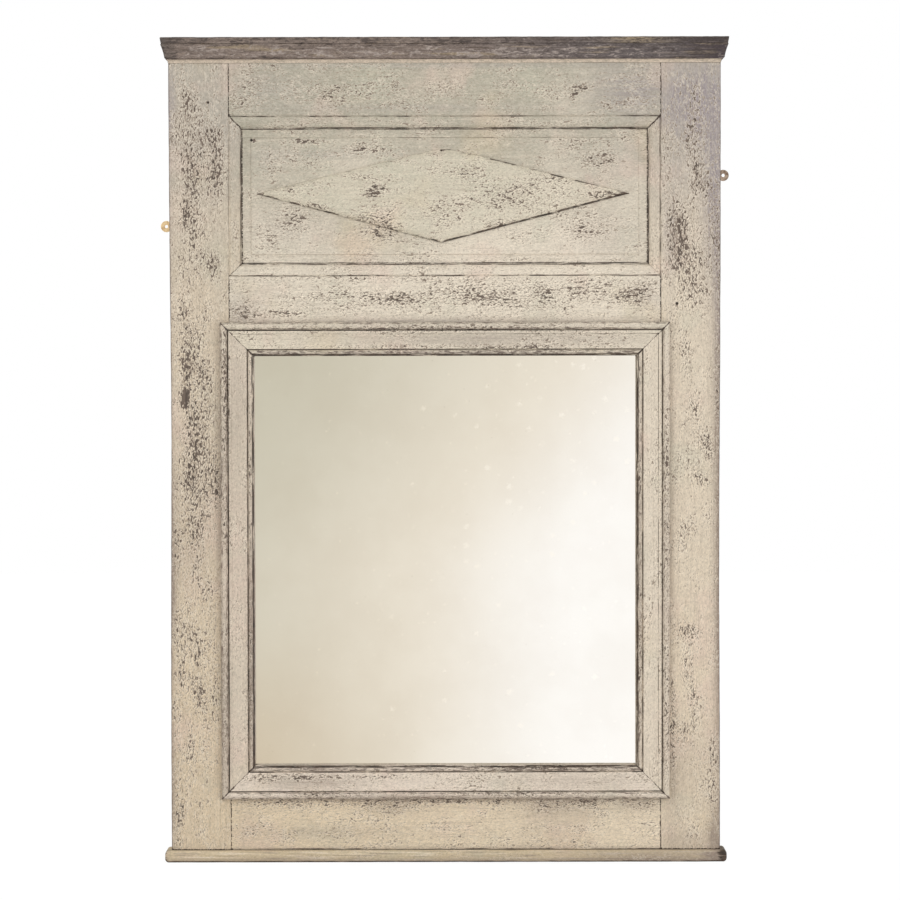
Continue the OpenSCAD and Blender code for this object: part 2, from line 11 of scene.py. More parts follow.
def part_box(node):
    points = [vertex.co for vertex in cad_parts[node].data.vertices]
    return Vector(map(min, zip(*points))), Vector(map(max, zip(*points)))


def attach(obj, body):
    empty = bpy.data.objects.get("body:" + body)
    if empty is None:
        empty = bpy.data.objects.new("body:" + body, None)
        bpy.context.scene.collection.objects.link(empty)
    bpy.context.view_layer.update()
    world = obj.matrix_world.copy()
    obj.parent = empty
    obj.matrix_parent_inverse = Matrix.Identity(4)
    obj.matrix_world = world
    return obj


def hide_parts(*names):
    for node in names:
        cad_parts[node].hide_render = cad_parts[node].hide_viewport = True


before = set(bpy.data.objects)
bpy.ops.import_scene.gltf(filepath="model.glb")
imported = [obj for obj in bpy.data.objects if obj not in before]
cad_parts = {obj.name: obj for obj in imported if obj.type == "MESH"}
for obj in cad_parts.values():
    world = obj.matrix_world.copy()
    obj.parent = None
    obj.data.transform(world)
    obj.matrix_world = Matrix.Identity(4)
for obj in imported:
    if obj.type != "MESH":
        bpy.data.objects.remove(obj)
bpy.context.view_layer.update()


# Two softwood stiles, 32 mm thick, run the full height at both sides. The
# inner edge beside the panel carries a small moulding cut on the plank, and
# the back edge has a rebate for the back boards. Planed, then painted.
BODY_HALF, STILE_W, STILE_T = 412.5, 89.5, 32.0
STRIP_W, STRIP_TOE = 19.0, 25.5
OPENING_HALF = BODY_HALF - STILE_W
PANEL_HALF = OPENING_HALF - STRIP_W
FRAME_LOW, FRAME_HIGH = 18.4, 1197.4
MIRROR_LOW, MIRROR_HIGH = 108.9, 797.4
PANEL_LOW, PANEL_HIGH = 898.4, 1100.4
REBATE_W, REBATE_D = 11.8, 9.3
REBATE_LOW, REBATE_HIGH = MIRROR_LOW - REBATE_W, MIRROR_HIGH + REBATE_W
# The backs stay this far off the wall, and a section changes within a hair.
# Each point of a piece has five marks of its wear, dirt and painted shade, which the finishes read.
BACK, HAIR = 0.35, 0.04
MARKS = ("rub", "grime_and_shade", "flaking", "haze_and_shade", "bare")


def eased(corners, spacing=4.5, fade=2.0, long_flat=9.0, most=0.45):
    """Closed row of points from a section's corners. A corner is (across, out,
    radius, rub, grime, bare), and its radius takes no more than a share of each
    side. Long flats get points along them, and wear fades out at their ends."""
    full = [tuple(c) + (0.0,) * (6 - len(c)) for c in corners]
    turned = []
    for i, (across, out, radius, rub, grime_and_shade, bare) in enumerate(full):
        here = Vector((across, out))
        before = Vector(full[i - 1][:2]) - here
        after = Vector(full[(i + 1) % len(full)][:2]) - here
        radius = min(radius, before.length * most, after.length * most)
        if radius < HAIR:
            turned.append((across, out, rub, grime_and_shade, bare))
            continue
        first = here + before.normalized() * radius
        last = here + after.normalized() * radius
        middle = (first + last) / 4 + here / 2
        for point, share in ((first, 0.5), (middle, 1.0), (last, 0.5)):
            turned.append((point.x, point.y, rub * share, grime_and_shade * share, bare))
    ring = []
    for i, point in enumerate(turned):
        ring.append(point)
        other = turned[(i + 1) % len(turned)]
        gap = math.dist(point[:2], other[:2])
        if gap < long_flat:
            continue
        count = max(2, round(gap / spacing))
        for share in sorted({fade / gap, 1 - fade / gap} | {k / count for k in range(1, count)}):
            across, out = (point[k] + (other[k] - point[k]) * share for k in (0, 1))
            ring.append((across, out, 0.0, 0.0, min(point[4], other[4])))
    return ring


def outward(ring):
    """Direction away from the wood at each point of a section."""
    count = len(ring)
    area = sum(ring[i - 1][0] * ring[i][1] - ring[i][0] * ring[i - 1][1] for i in range(count))
    turn = 1 if area > 0 else -1
    away = []
    for i in range(count):
        along = Vector(ring[(i + 1) % count][:2]) - Vector(ring[i - 1][:2])
        along = along.normalized() if along.length > 1e-6 else Vector((1, 0))
        away.append((along.y * turn, -along.x * turn))
    return away


def spread(places):
    """How much of a mark a point has, as wear or as haze and painted shade. A place is (x, z, half width,
    half height, how much).
    """
    def amount(x, z):
        return sum(
            much * math.exp(-((x - mid_x) / half_x) ** 2 - ((z - mid_z) / half_z) ** 2)
            for mid_x, mid_z, half_x, half_z, much in places
        )
    return amount


def planed_off(point, wave, wave_length, nick, nick_length):
    """How much the plane's waves and the nicks of a worn edge take off."""
    waves = wave * max(0.0, 0.5 + noise.noise(point / wave_length))
    return waves + nick * max(0.0, 0.3 + noise.noise(point / nick_length))


def shell(ring_at, reach, seat, flakes=(), haze_and_shade_places=(), step=4.5, ease=0.8, breaks=(), wave=0.2, nick=0.5,
          joint=(0.8, 0.8)):
    """One closed length of wood: a section run from end to end. For a point u
    across and v out, reach gives both ends and seat its place at s along. The
    ends are rounded by ease, and joint is the dirt at each of them. A section
    that changes along the length does so at the breaks."""
    low, high = reach(0, 0)
    inner = high - low - 2 * ease
    count = max(2, round(inner / step))
    shares = {i / count for i in range(count + 1)} | {1 / inner, 2 / inner, 1 - 1 / inner, 1 - 2 / inner}
    shares |= {(b + hair - low - ease) / inner for b in breaks for hair in (-HAIR, HAIR)}
    stations = [(0, 0.0), (0, ease * 0.35)] + [(share, ease) for share in sorted(shares)]
    stations += [(1, ease * 0.35), (1, 0.0)]
    flaking, haze_and_shade = spread(flakes), spread(haze_and_shade_places)
    points, marks = [], []
    for share, inset in stations:
        ring = ring_at(low + inset + share * (high - low - 2 * inset)) if callable(ring_at) else ring_at
        sink = ease * (1 - math.sqrt(1 - (1 - inset / ease) ** 2))
        edge = 1.0 if inset < ease else 0.75 * max(0.0, 1 - min(share, 1 - share) * inner / 2)
        for (across, out, rub, grime_and_shade, bare), (away_u, away_v) in zip(ring, outward(ring)):
            start, end = reach(across, out)
            run = start + inset + share * (end - start - 2 * inset)
            gone = sink + planed_off(Vector(seat(run, across, out)), wave, 47.0, nick * rub, 11.0)
            x, y, z = seat(run, across - away_u * gone, out - away_v * gone)
            points.append((x, y, z))
            dirt = (max(0.0, grime_and_shade) if edge else grime_and_shade) + joint[share > 0.5] * edge
            marks.append((min(1.0, rub + 0.3 * edge), min(1.0, dirt), flaking(x, z), haze_and_shade(x, z), bare))
    return points, marks, len(ring)


def wooden(name, shells, finish, slot, *nodes):
    """Makes one piece from its closed lengths."""
    points, marks, faces = [], [], []
    for part, part_marks, size in shells:
        first, last = len(points), len(points) + len(part) - size
        points += part
        marks += part_marks
        for start in range(first, last, size):
            for i in range(size):
                a, b = start + i, start + (i + 1) % size
                faces.append((a, b, b + size, a + size))
        faces += [tuple(range(end, end + size)) for end in (first, last)]
    mesh = bpy.data.meshes.new(name)
    mesh.from_pydata([[c / 1000 for c in p] for p in points], [], faces)
    for mark, amounts in zip(MARKS, zip(*marks)):
        mesh.attributes.new(mark, "FLOAT", "POINT").data.foreach_set("value", amounts)
    finished(name, mesh, finish, slot, *nodes)


def placed(name, data):
    """Puts a new object into the scene."""
    thing = bpy.data.objects.new(name, data)
    bpy.context.scene.collection.objects.link(thing)
    return thing


def finished(name, mesh, finish, slot, *nodes, sharp=38):
    """Turns a mesh into a piece that stands for its CAD nodes."""
    turned = bmesh.new()
    turned.from_mesh(mesh)
    bmesh.ops.recalc_face_normals(turned, faces=turned.faces)
    turned.to_mesh(mesh)
    turned.free()
    mesh.shade_smooth()
    mesh.set_sharp_from_angle(angle=math.radians(sharp))
    mesh.materials.append(finish)
    piece = placed(name, mesh)
    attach(piece, "root")
    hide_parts(*nodes)


def tone(red, green, blue):
    """A colour as it looks, from 0 to 255, as the light that it gives back."""
    return tuple(((c / 255 + 0.055) / 1.055) ** 2.4 for c in (red, green, blue)) + (1.0,)


def put(owner, kind, feeds=(), **settings):
    """Adds one step to a finish; feeds are its values or the steps before it, and
    owner is the finish's tree or any output in it."""
    tree = owner.id_data
    step = tree.nodes.new("ShaderNode" + kind)
    for name, value in settings.items():
        setattr(step, name, value)
    for socket, value in dict(feeds).items():
        if isinstance(value, bpy.types.NodeSocket):
            tree.links.new(value, step.inputs[socket])
        else:
            step.inputs[socket].default_value = value
    return step


def begun(name):
    """A new finish, and the place of each point of the mirror in metres."""
    finish = bpy.data.materials.new(name)
    finish.use_nodes = True
    return finish, put(finish.node_tree, "TexCoord").outputs["Object"]


def surfaced(finish, colour, rough, relief=None, strength=0.0, depth=0.0, **levels):
    """Gives a finish its colour, roughness, relief and fixed levels."""
    tree = finish.node_tree
    shader = tree.nodes["Principled BSDF"]
    tree.links.new(colour, shader.inputs["Base Color"])
    tree.links.new(rough, shader.inputs["Roughness"])
    if relief is not None:
        bump = put(relief, "Bump", {"Strength": strength, "Distance": depth, "Height": relief})
        tree.links.new(bump.outputs[0], shader.inputs["Normal"])
    for socket, level in levels.items():
        shader.inputs[socket.replace("_", " ")].default_value = level
    return finish


def reckon(how, first, second):
    """Works out a value from two, either of which may be a plain number."""
    owner = first if isinstance(first, bpy.types.NodeSocket) else second
    return put(owner, "Math", {0: first, 1: second}, operation=how).outputs[0]


def plus(first, second):
    return reckon("ADD", first, second)


def times(first, second):
    return reckon("MULTIPLY", first, second)


def rise(value, low, high, start=0.0, end=1.0):
    """Goes smoothly from start to end while a value goes from low to high."""
    feeds = {"Value": value, "From Min": low, "From Max": high, "To Min": start, "To Max": end}
    return put(value, "MapRange", feeds, interpolation_type="SMOOTHSTEP").outputs[0]


def over(share, under, upper):
    """Lays one colour over another by a share. A plain one is a tuple from 0 to 255."""
    under, upper = (tone(*colour) if isinstance(colour, tuple) else colour for colour in (under, upper))
    return put(share, "Mix", {0: share, 6: under, 7: upper}, data_type="RGBA").outputs[2]


def stained(colour, stains):
    """Lays stains over a colour. Each is (pattern, where it starts, where it is full, share, colour)."""
    for pattern, low, high, share, stain in stains:
        colour = over(rise(pattern, low, high, 0.0, share), colour, stain)
    return colour


def dimmed(colour, amount):
    return put(colour, "VectorMath", {0: colour, "Scale": amount}, operation="SCALE").outputs[0]


def specked(place, scale, detail=2.0, rough=0.5, shift=0.0, curl=0.0, nudge=0.0):
    """Noise with its own number of grains per metre on each axis. A nudge reads
    it that many metres further up and to the left."""
    start = (shift - nudge * scale[0], shift, shift + nudge * scale[2])
    drawn = put(place, "Mapping", {"Vector": place, "Location": start, "Scale": scale}).outputs[0]
    feeds = {"Vector": drawn, "Scale": 1.0, "Detail": detail, "Roughness": rough, "Distortion": curl}
    return put(place, "TexNoise", feeds).outputs[0]


def marked(place, mark):
    """How much of a mark a place has."""
    return put(place, "Attribute", attribute_name=mark).outputs["Fac"]


def along(grain, across_scale, along_scale):
    """Grains per metre, drawn out along the wood's grain."""
    return tuple(along_scale if axis == grain else across_scale for axis in "xyz")


def raw_wood(place, grain, light, dark):
    """Colour of old bare softwood: growth rings, fibres and dirt."""
    drawn = put(place, "Mapping", {"Vector": place, "Scale": along(grain, 1.0, 0.05)}).outputs[0]
    feeds = {"Vector": drawn, "Scale": 32.0, "Distortion": 9.0, "Detail": 3.0, "Detail Scale": 1.3}
    feeds["Detail Roughness"] = 0.6
    lying = "Z" if grain == "x" else "X"
    rings = put(place, "TexWave", feeds, wave_profile="SAW", bands_direction=lying).outputs["Fac"]
    bands = specked(place, along(grain, 40, 2.5), 2.0, 0.5)
    fibre = specked(place, along(grain, 1100, 28), 3.0, 0.6)
    pores = specked(place, along(grain, 420, 60), 2.0, 0.5, 9.0)
    dirt = specked(place, (13, 13, 13), 4.0, 0.6)
    wood = stained(light, [
        (bands, 0.38, 0.64, 0.6, dark), (rings, 0.4, 1.0, 0.55, (112, 80, 52)),
        (fibre, 0.4, 0.72, 0.4, (92, 74, 56)), (pores, 0.6, 0.7, 0.5, (80, 62, 48)),
        (dirt, 0.5, 0.75, 0.45, (98, 85, 72)),
    ])
    return wood, fibre


def film_and_painted_light(place, grain, foot, middle, top, drawn, light_from_right):
    """Colour of the paint film by height, paler to the right with painted light, and with the patterns that
    its wear follows.
    """
    parts = put(place, "SeparateXYZ", {0: place})
    blotch = specked(place, (8, 8, 8), 3.0, 0.55)
    tinge = specked(place, (11, 11, 11), 3.0, 0.6, 7.0)
    cloud = specked(place, along(grain, 34, 16), 3.0, 0.6, 4.0)
    mottle = specked(place, along(grain, 150, 80), 3.0, 0.65, 11.0)
    tooth = specked(place, along(grain, 460, 260), 3.0, 0.7, 13.0)
    streak = specked(place, along(grain, 420, 14), 4.0, 0.6)
    height = plus(parts.outputs["Z"], times(blotch, 0.5))
    colour = over(rise(height, 0.4, 0.95), foot, middle)
    colour = over(rise(height, 1.06, 1.42), colour, top)
    # Painted light: the film is made paler towards the right, less so near the top, along with pale clouds of
    # its own tone.
    rightwards = rise(parts.outputs["X"], -0.40, 0.40)
    painted_light_and_cloud = times(rightwards, rise(height, 1.5, 1.1, 0.05, light_from_right))
    painted_light_and_cloud = plus(painted_light_and_cloud, rise(cloud, 0.5, 0.74, 0.0, 0.2))
    colour = stained(over(painted_light_and_cloud, colour, (228, 216, 198)), [
        (tinge, 0.54, 0.72, 0.34, (188, 187, 167)), (tinge, 0.48, 0.30, 0.42, (214, 189, 174)),
        (blotch, 0.56, 0.72, 0.3, (216, 197, 164)),
        (mottle, 0.46, 0.24, 0.4, (166, 153, 136)), (mottle, 0.54, 0.76, 0.42, (228, 217, 198)),
        (streak, 0.52, 0.74, drawn, (164, 150, 132)), (streak, 0.48, 0.28, drawn * 0.8, (226, 212, 190)),
    ])
    # Haze and painted shade: this mark dulls and darkens the film along edges, beside the mouldings and under
    # ledges.
    haze_and_shade = times(marked(place, "haze_and_shade"), rise(streak, 0.3, 0.62, 1.0, 0.5))
    haze_and_shade_colour = over(rise(parts.outputs["Z"], 0.6, 1.1), (148, 133, 120), (152, 143, 143))
    colour = dimmed(over(haze_and_shade, colour, haze_and_shade_colour), rise(tooth, 0.28, 0.72, 0.85, 1.11))
    return colour, cloud, mottle, tooth, streak


def crackled(place, grain, colour, cloud, streak, spare):
    """Specks where the film has flaked off the dark ground. The coarse ones have
    raised rims with a painted highlight, and painted light and shade from above on their edges."""
    density = plus(marked(place, "flaking"), rise(cloud, 0.40, 0.66, spare, 0.6 + spare))
    threshold = reckon("SUBTRACT", 0.70, times(density, 0.12))
    fine = specked(place, along(grain, 620, 330), 1.0, 0.5, 2.0)
    coarse, beside = (
        specked(place, along(grain, 350, 170), 1.5, 0.5, 3.0, 0.8, nudge) for nudge in (0.0, 0.001)
    )
    # Painted light and shade: the noise read 1 mm up and to the left lightens one side of each coarse speck
    # and darkens the other.
    slope = reckon("SUBTRACT", beside, coarse)
    painted_relief_light = times(slope, rise(density, 0.0, 1.2, 0.15, 1.1))
    colour = dimmed(colour, plus(painted_relief_light, 1.0))
    coarse_over = reckon("SUBTRACT", coarse, threshold)
    # Painted highlight: a pale rim round each coarse speck, which the relief also raises.
    raised_rim_highlight = times(rise(coarse_over, -0.13, -0.03), rise(density, 0.0, 0.9, 0.1, 0.5))
    colour = over(raised_rim_highlight, colour, (232, 220, 201))
    fine_speck = rise(reckon("SUBTRACT", fine, threshold), -0.045, 0.045)
    fine_speck = times(fine_speck, rise(density, 0.0, 0.9, 0.38, 0.65))
    colour = over(fine_speck, colour, (132, 115, 100))
    ground = over(rise(streak, 0.35, 0.7), (104, 90, 80), (62, 52, 47))
    ground = over(rise(density, 0.3, 1.3), (142, 126, 110), ground)
    speck = rise(coarse_over, -0.015, 0.06)
    colour = over(times(speck, rise(density, 0.0, 1.2, 0.55, 0.92)), colour, ground)
    return colour, speck, raised_rim_highlight


def soiled_and_shaded(place, grain, colour, mottle, holes):
    """Dirt and painted shade along the corners and lines, and dirt round the heads of sunk nails."""
    broken = specked(place, along(grain, 300, 24), 5.0, 0.74, 5.0)
    # Dirt and painted shade: corners, lines and the undersides of edges go dark.
    dirt = times(marked(place, "grime_and_shade"), rise(broken, 0.34, 0.66, 0.4, 1.6))
    soot_and_shade = rise(dirt, 0.42, 0.90, 0.0, 0.94)
    for x, z, radius in holes:
        hole = (x / 1000, 0.0, z / 1000)
        away = put(place, "VectorMath", {0: place, 1: hole}, operation="SUBTRACT").outputs[0]
        away = put(place, "VectorMath", {0: away, 1: (1.0, 0.0, 1.0)}, operation="MULTIPLY").outputs[0]
        away = put(place, "VectorMath", {0: away}, operation="LENGTH").outputs["Value"]
        soot_and_shade = reckon("MAXIMUM", soot_and_shade, rise(away, radius / 700, radius / 1400))
    return over(soot_and_shade, colour, over(rise(mottle, 0.35, 0.65), (32, 25, 22), (76, 60, 50)))


def old_paint(name, grain, foot, middle, top, spare=0.0, holes=(), drawn=0.4, light_from_right=0.34):
    """Old cream paint over a dark ground. It has crackled and flaked in small
    specks along the grain, is rubbed through on the edges, and is dirty and has
    painted shade in the corners. foot, middle and top are its colours by height,
    spare adds flaking all over, holes are nail holes as (x, z, radius), drawn is
    how streaky it is, and the last is how much painted light makes it paler towards the right."""
    paint, place = begun(name)
    colour, cloud, mottle, tooth, streak = film_and_painted_light(place, grain, foot, middle, top, drawn, light_from_right)
    colour, speck, raised_rim_highlight = crackled(place, grain, colour, cloud, streak, spare)
    scuff = specked(place, along(grain, 400, 95), 4.0, 0.7, 6.0, 0.6)
    rubbed = rise(plus(times(marked(place, "rub"), 0.9), scuff), 1.0, 1.15)
    ground = over(rise(streak, 0.36, 0.66), (112, 96, 88), (74, 62, 57))
    colour = over(times(rubbed, 0.86), colour, ground)
    colour = soiled_and_shaded(place, grain, colour, mottle, holes)
    wood, fibre = raw_wood(place, grain, (176, 142, 104), (132, 100, 70))
    bare = marked(place, "bare")
    colour = over(bare, colour, wood)
    through = reckon("MAXIMUM", speck, rubbed)
    rough = plus(rise(cloud, 0.3, 0.7, 0.5, 0.66), times(through, 0.14))
    rough = plus(rough, times(bare, 0.2))
    film = times(reckon("SUBTRACT", 1.0, bare), reckon("SUBTRACT", 1.0, through))
    relief = plus(times(tooth, 0.5), plus(film, times(raised_rim_highlight, 0.5)))
    relief = plus(relief, times(fibre, times(bare, 0.6)))
    return surfaced(paint, colour, rough, relief, 0.4, 0.0005, Specular_IOR_Level=0.3)


paint_upright = old_paint(
    "old_paint_upright", "z", (208, 190, 163), (203, 188, 166), (176, 168, 154), 0.2,
    [(-353, 1139, 1.9), (347, 838, 2.2)],
)


def strip_ring(line, mouth_dirt_and_shadow):
    """Section of the moulding cut on the edge: a flat ovolo and a sunk line. The
    first number is the dirt in the line, and the second the dirt and painted contact shadow where it meets
    the panel."""
    ovolo = [
        (1.8 + 15 * (1 - math.cos(math.radians(a))), STRIP_TOE + 5.4 * math.sin(math.radians(a)), 0, 0.05, 0)
        for a in range(12, 90, 12)
    ]
    return eased([
        (0, BACK, 0, 0, 0, 1), (0, 23.5, 0, 0, mouth_dirt_and_shadow), (0, STRIP_TOE, 0.3, 0.3, mouth_dirt_and_shadow),
        (1.3, STRIP_TOE, 0, 0.1, mouth_dirt_and_shadow), *ovolo, (16.5, 30.9, 0, 0, line * 0.5),
        (17.3, 30.3, 0, 0, line), (18.4, 30.4, 0, 0, line), (STRIP_W, STILE_T, 0.3, 0.3, line),
        (STRIP_W + 1, STILE_T - 0.6, 0, 0, line * 0.4), (STRIP_W + 1, 0.8, 0, 0, 0, 1),
        (STRIP_W, BACK, 0, 0, 0, 1),
    ])


def stile_ring(s):
    notch = REBATE_LOW < s < REBATE_HIGH
    corner = (STILE_W - REBATE_W, REBATE_D) if notch else (STILE_W, BACK)
    return eased([
        (0, BACK, 0.5, 0.2, 0, 1), (0, STILE_T, 1.6, 0.95, 0.35), (STILE_W, STILE_T, 0.5, 0.2, 1.1),
        (STILE_W, REBATE_D, 0, 0, 0, 1), corner + (0, 0, 0, 1), (STILE_W - REBATE_W, BACK, 0, 0, 0, 1),
    ])


def stile(side, name, line, mitres, shrunk, flakes, haze_and_shade_places):
    """shrunk is (depth, height, reach) of the hollow that drying left in the outer edge."""
    depth, mid_height, half_reach = shrunk

    def place(s, u, v):
        hollow = depth * math.exp(-((s - mid_height) / half_reach) ** 2) * max(0.0, 1 - u / 30)
        return side * (BODY_HALF - u - hollow), -v, s

    plank = shell(
        stile_ring, lambda u, v: (FRAME_LOW, FRAME_HIGH), place, flakes, haze_and_shade_places,
        breaks=(REBATE_LOW, REBATE_HIGH), joint=(0.9, 0.1),
    )
    strip = shell(
        strip_ring(line, 1.1), lambda u, v: (PANEL_LOW - u, PANEL_HIGH + u),
        lambda s, u, v: (side * (PANEL_HALF + u), -v, s), flakes, haze_and_shade_places, ease=0.5, joint=mitres,
    )
    wooden("painted_" + name, [plank, strip], paint_upright, "frame_paint", name)


# The second list of each stile lays haze and painted shade, most along its outer edge and beside the
# mouldings.
stile(-1, "left_stile", 0.1, (0.8, 1.6), (2.2, 660, 250), [
    (-385, 1104, 13, 60, 0.65), (-377, 1007, 12, 68, 0.6), (-344, 1067, 10, 52, 0.55),
    (-341, 1014, 11, 60, 0.6), (-344, 899, 9, 20, 1.3), (-386, 969, 9, 35, 0.8), (-367, 902, 20, 30, 0.4),
    (-389, 825, 10, 44, 0.8), (-372, 790, 14, 30, 0.7), (-387, 757, 13, 24, 1.2), (-389, 698, 7, 13, 3.0),
    (-387, 728, 6, 16, 1.4), (-363, 733, 14, 24, 1.2), (-367, 675, 20, 22, 0.9), (-373, 635, 20, 24, 1.0),
    (-385, 575, 13, 36, 0.95), (-355, 568, 18, 34, 0.6), (-340, 570, 4, 30, 1.1), (-383, 497, 22, 40, 0.5),
    (-370, 309, 14, 40, 0.25), (-368, 254, 9, 26, 0.7), (-383, 185, 4, 36, 0.8), (-346, 264, 8, 75, 0.7),
    (-401, 77, 7, 48, 0.9), (-396, 276, 8, 24, 0.8), (-372, 1060, 36, 110, 0.6), (-367, 700, 36, 150, 0.38),
    (-367, 540, 36, 90, 0.3), (-372, 330, 26, 150, 0.4), (-404, 300, 6, 240, 0.4),
], [
    (-411, 1135, 9, 60, 0.8), (-413, 560, 4, 460, 1.0), (-411, 450, 9, 110, 0.95),
    (-411, 500, 9, 420, 0.25), (-411, 90, 5, 110, 0.9), (-380, 460, 26, 50, 0.3),
    (-360, 1100, 60, 60, 0.25), (-338, 560, 5, 260, 0.5), (-370, 540, 50, 80, 0.2),
])
stile(1, "right_stile", 0.6, (0.0, 1.6), (1.6, 480, 250), [
    (336, 1180, 9, 3, 0.9), (373, 1094, 15, 60, 0.55), (331, 1076, 9, 40, 0.75), (379, 1028, 9, 28, 0.9),
    (346, 950, 15, 34, 1.35), (350, 905, 14, 26, 1.25), (374, 868, 24, 22, 0.4), (399, 992, 10, 70, 0.5),
    (360, 834, 30, 16, 0.45), (362, 762, 8, 26, 0.6), (376, 684, 9, 36, 0.6), (388, 632, 20, 22, 0.7),
    (408, 693, 4, 34, 1.2), (384, 575, 16, 12, 0.7), (366, 503, 14, 18, 0.6), (366, 347, 12, 12, 0.7),
    (362, 283, 7, 20, 0.9), (371, 246, 7, 26, 1.2), (353, 197, 16, 20, 0.8), (383, 145, 22, 22, 0.45),
    (340, 197, 5, 100, 0.6), (402, 110, 8, 60, 0.6), (368, 900, 34, 90, 0.4), (368, 640, 34, 60, 0.2),
    (380, 1060, 22, 90, 0.25), (409, 900, 4, 160, 0.6),
], [
    (372, 1140, 60, 60, 1.25), (402, 1000, 18, 150, 1.15), (360, 1040, 40, 90, 0.35),
    (413, 560, 4, 560, 1.2), (411, 520, 9, 420, 1.25), (410, 700, 10, 150, 0.55), (375, 150, 40, 60, 0.25),
    (345, 938, 18, 46, 0.3), (338, 500, 5, 320, 0.5), (336, 940, 8, 60, 0.5), (404, 40, 12, 46, 1.0),
    (364, 30, 44, 18, 0.5), (342, 120, 16, 70, 0.45),
])


# Three rails are tenoned between the stiles. The top and the middle one have
# the same small moulding cut on the edge towards the panel, and the middle
# and the bottom one are rebated at the back. Painted with the stiles.
paint_level = old_paint(
    "old_paint_level", "x", (219, 201, 172), (218, 207, 189), (172, 166, 149), 0.2, [(-289, 1083.5, 1.9)],
)


def rail(name, low, high, rebate, strip_at, strip_turn, line, mitres, dirt, flakes, haze_and_shade_places):
    """rebate names the edge that has one. The moulding starts at strip_at and
    widens up or down by strip_turn, and dirt is that of the low and high edge."""
    height = high - low
    low_edge, high_edge = [(0, BACK)], [(height, BACK)]
    if rebate == "low":
        low_edge = [(REBATE_W, BACK), (REBATE_W, REBATE_D), (0, REBATE_D)]
    if rebate == "high":
        high_edge = [(height, REBATE_D), (height - REBATE_W, REBATE_D), (height - REBATE_W, BACK)]
    ring = eased(
        [(0, STILE_T, 0.4, 0.2, dirt[0]), (1.2, STILE_T, 0, 0, dirt[0]), (height, STILE_T, 0.5, 0.2, dirt[1])]
        + [(u, v, 0, 0, 0, 1) for u, v in high_edge + low_edge]
    )
    shells = [shell(
        ring, lambda u, v: (-OPENING_HALF, OPENING_HALF), lambda s, u, v: (s, -v, low + u),
        flakes, haze_and_shade_places, ease=0.5, joint=(1.2, 1.2),
    )]
    if strip_turn:
        shells.append(shell(
            strip_ring(line, 1.2), lambda u, v: (-PANEL_HALF - u, PANEL_HALF + u),
            lambda s, u, v: (s, -v, strip_at + strip_turn * u), flakes, haze_and_shade_places, ease=0.5, joint=mitres,
        ))
    wooden("painted_" + name, shells, paint_level, "frame_paint", name)


# The second list of each rail lays haze and painted shade along the mouldings, under the cornice and above
# the nosing.
rail("top_rail", PANEL_HIGH + STRIP_W, FRAME_HIGH, "none", PANEL_HIGH, 1, 0.58, (1.6, 1.6), (0.5, 0.1), [
    (-256, 1192, 16, 3, 1.0), (-294, 1148, 30, 26, 0.6), (-165, 1147, 36, 26, 0.65),
    (-75, 1161, 9, 12, 1.0), (-75, 1136, 30, 8, 0.7), (89, 1164, 20, 6, 0.8), (206, 1161, 20, 5, 1.4),
    (194, 1149, 7, 8, 1.3), (150, 1129, 22, 5, 0.7), (263, 1133, 18, 7, 0.6), (305, 1178, 22, 3, 0.7),
    (0, 1150, 260, 22, 0.15),
], [
    (-270, 1160, 60, 30, 0.35), (0, 1194, 330, 4, 0.4), (285, 1155, 70, 40, 0.85), (-60, 1130, 200, 6, 0.3),
])
rail("middle_rail", MIRROR_HIGH, PANEL_LOW - STRIP_W, "low", PANEL_LOW, -1, 0.72, (0.8, 0.0), (0.5, 0.6), [
    (-302, 826, 20, 20, 1.0), (-251, 825, 34, 5, 1.0), (-190, 849, 24, 6, 0.9), (-85, 848, 62, 9, 1.0),
    (57, 848, 68, 13, 0.8), (156, 850, 10, 10, 0.7), (212, 855, 42, 10, 0.6), (289, 848, 22, 14, 1.2),
    (183, 829, 12, 7, 0.6), (157, 862, 150, 14, 0.5), (-140, 876, 150, 5, 0.6), (0, 845, 300, 25, 0.25),
], [
    (-305, 826, 24, 26, 0.7), (0, 813, 330, 3.5, 0.8), (305, 850, 20, 24, 0.4),
])
rail("bottom_rail", FRAME_LOW, MIRROR_LOW, "high", 0, 0, 0, (0, 0), (0.8, 0.5), [
    (-258, 88, 30, 7, 0.8), (-160, 89, 36, 6, 0.8), (-82, 84, 38, 10, 0.8), (-177, 42, 130, 14, 0.25),
    (30, 92, 60, 4, 0.9), (172, 86, 56, 10, 0.7), (298, 84, 22, 8, 0.8), (240, 91, 50, 5, 0.7),
    (166, 27, 42, 9, 0.4), (52, 25, 60, 6, 0.4), (0, 92, 320, 6, 0.4),
], [
    (-177, 44, 130, 12, 0.4), (-82, 84, 44, 14, 0.6), (-240, 86, 60, 12, 0.2), (172, 82, 64, 18, 0.7),
    (290, 86, 30, 10, 0.7), (0, 96, 330, 5, 1.0), (150, 40, 60, 30, 0.25), (0, 20, 330, 3, 0.5),
    (-300, 60, 24, 40, 0.2),
])


# A softwood panel sits in grooves of the stiles and rails. Its field is
# raised a little above a narrow margin. Painted in place with the frame.
PANEL_LAP, MARGIN_W = 9.0, 14.0
PANEL_BACK, MARGIN_OUT, FIELD_OUT = 15.0, 23.0, 24.5
FIELD_HALF, HALF_STEP = PANEL_HALF - MARGIN_W, 0.5
END_DIRT_AND_SHADE_FROM, END_DIRT_AND_SHADE_FULL = PANEL_HALF - 2.4, PANEL_HALF - 1.0


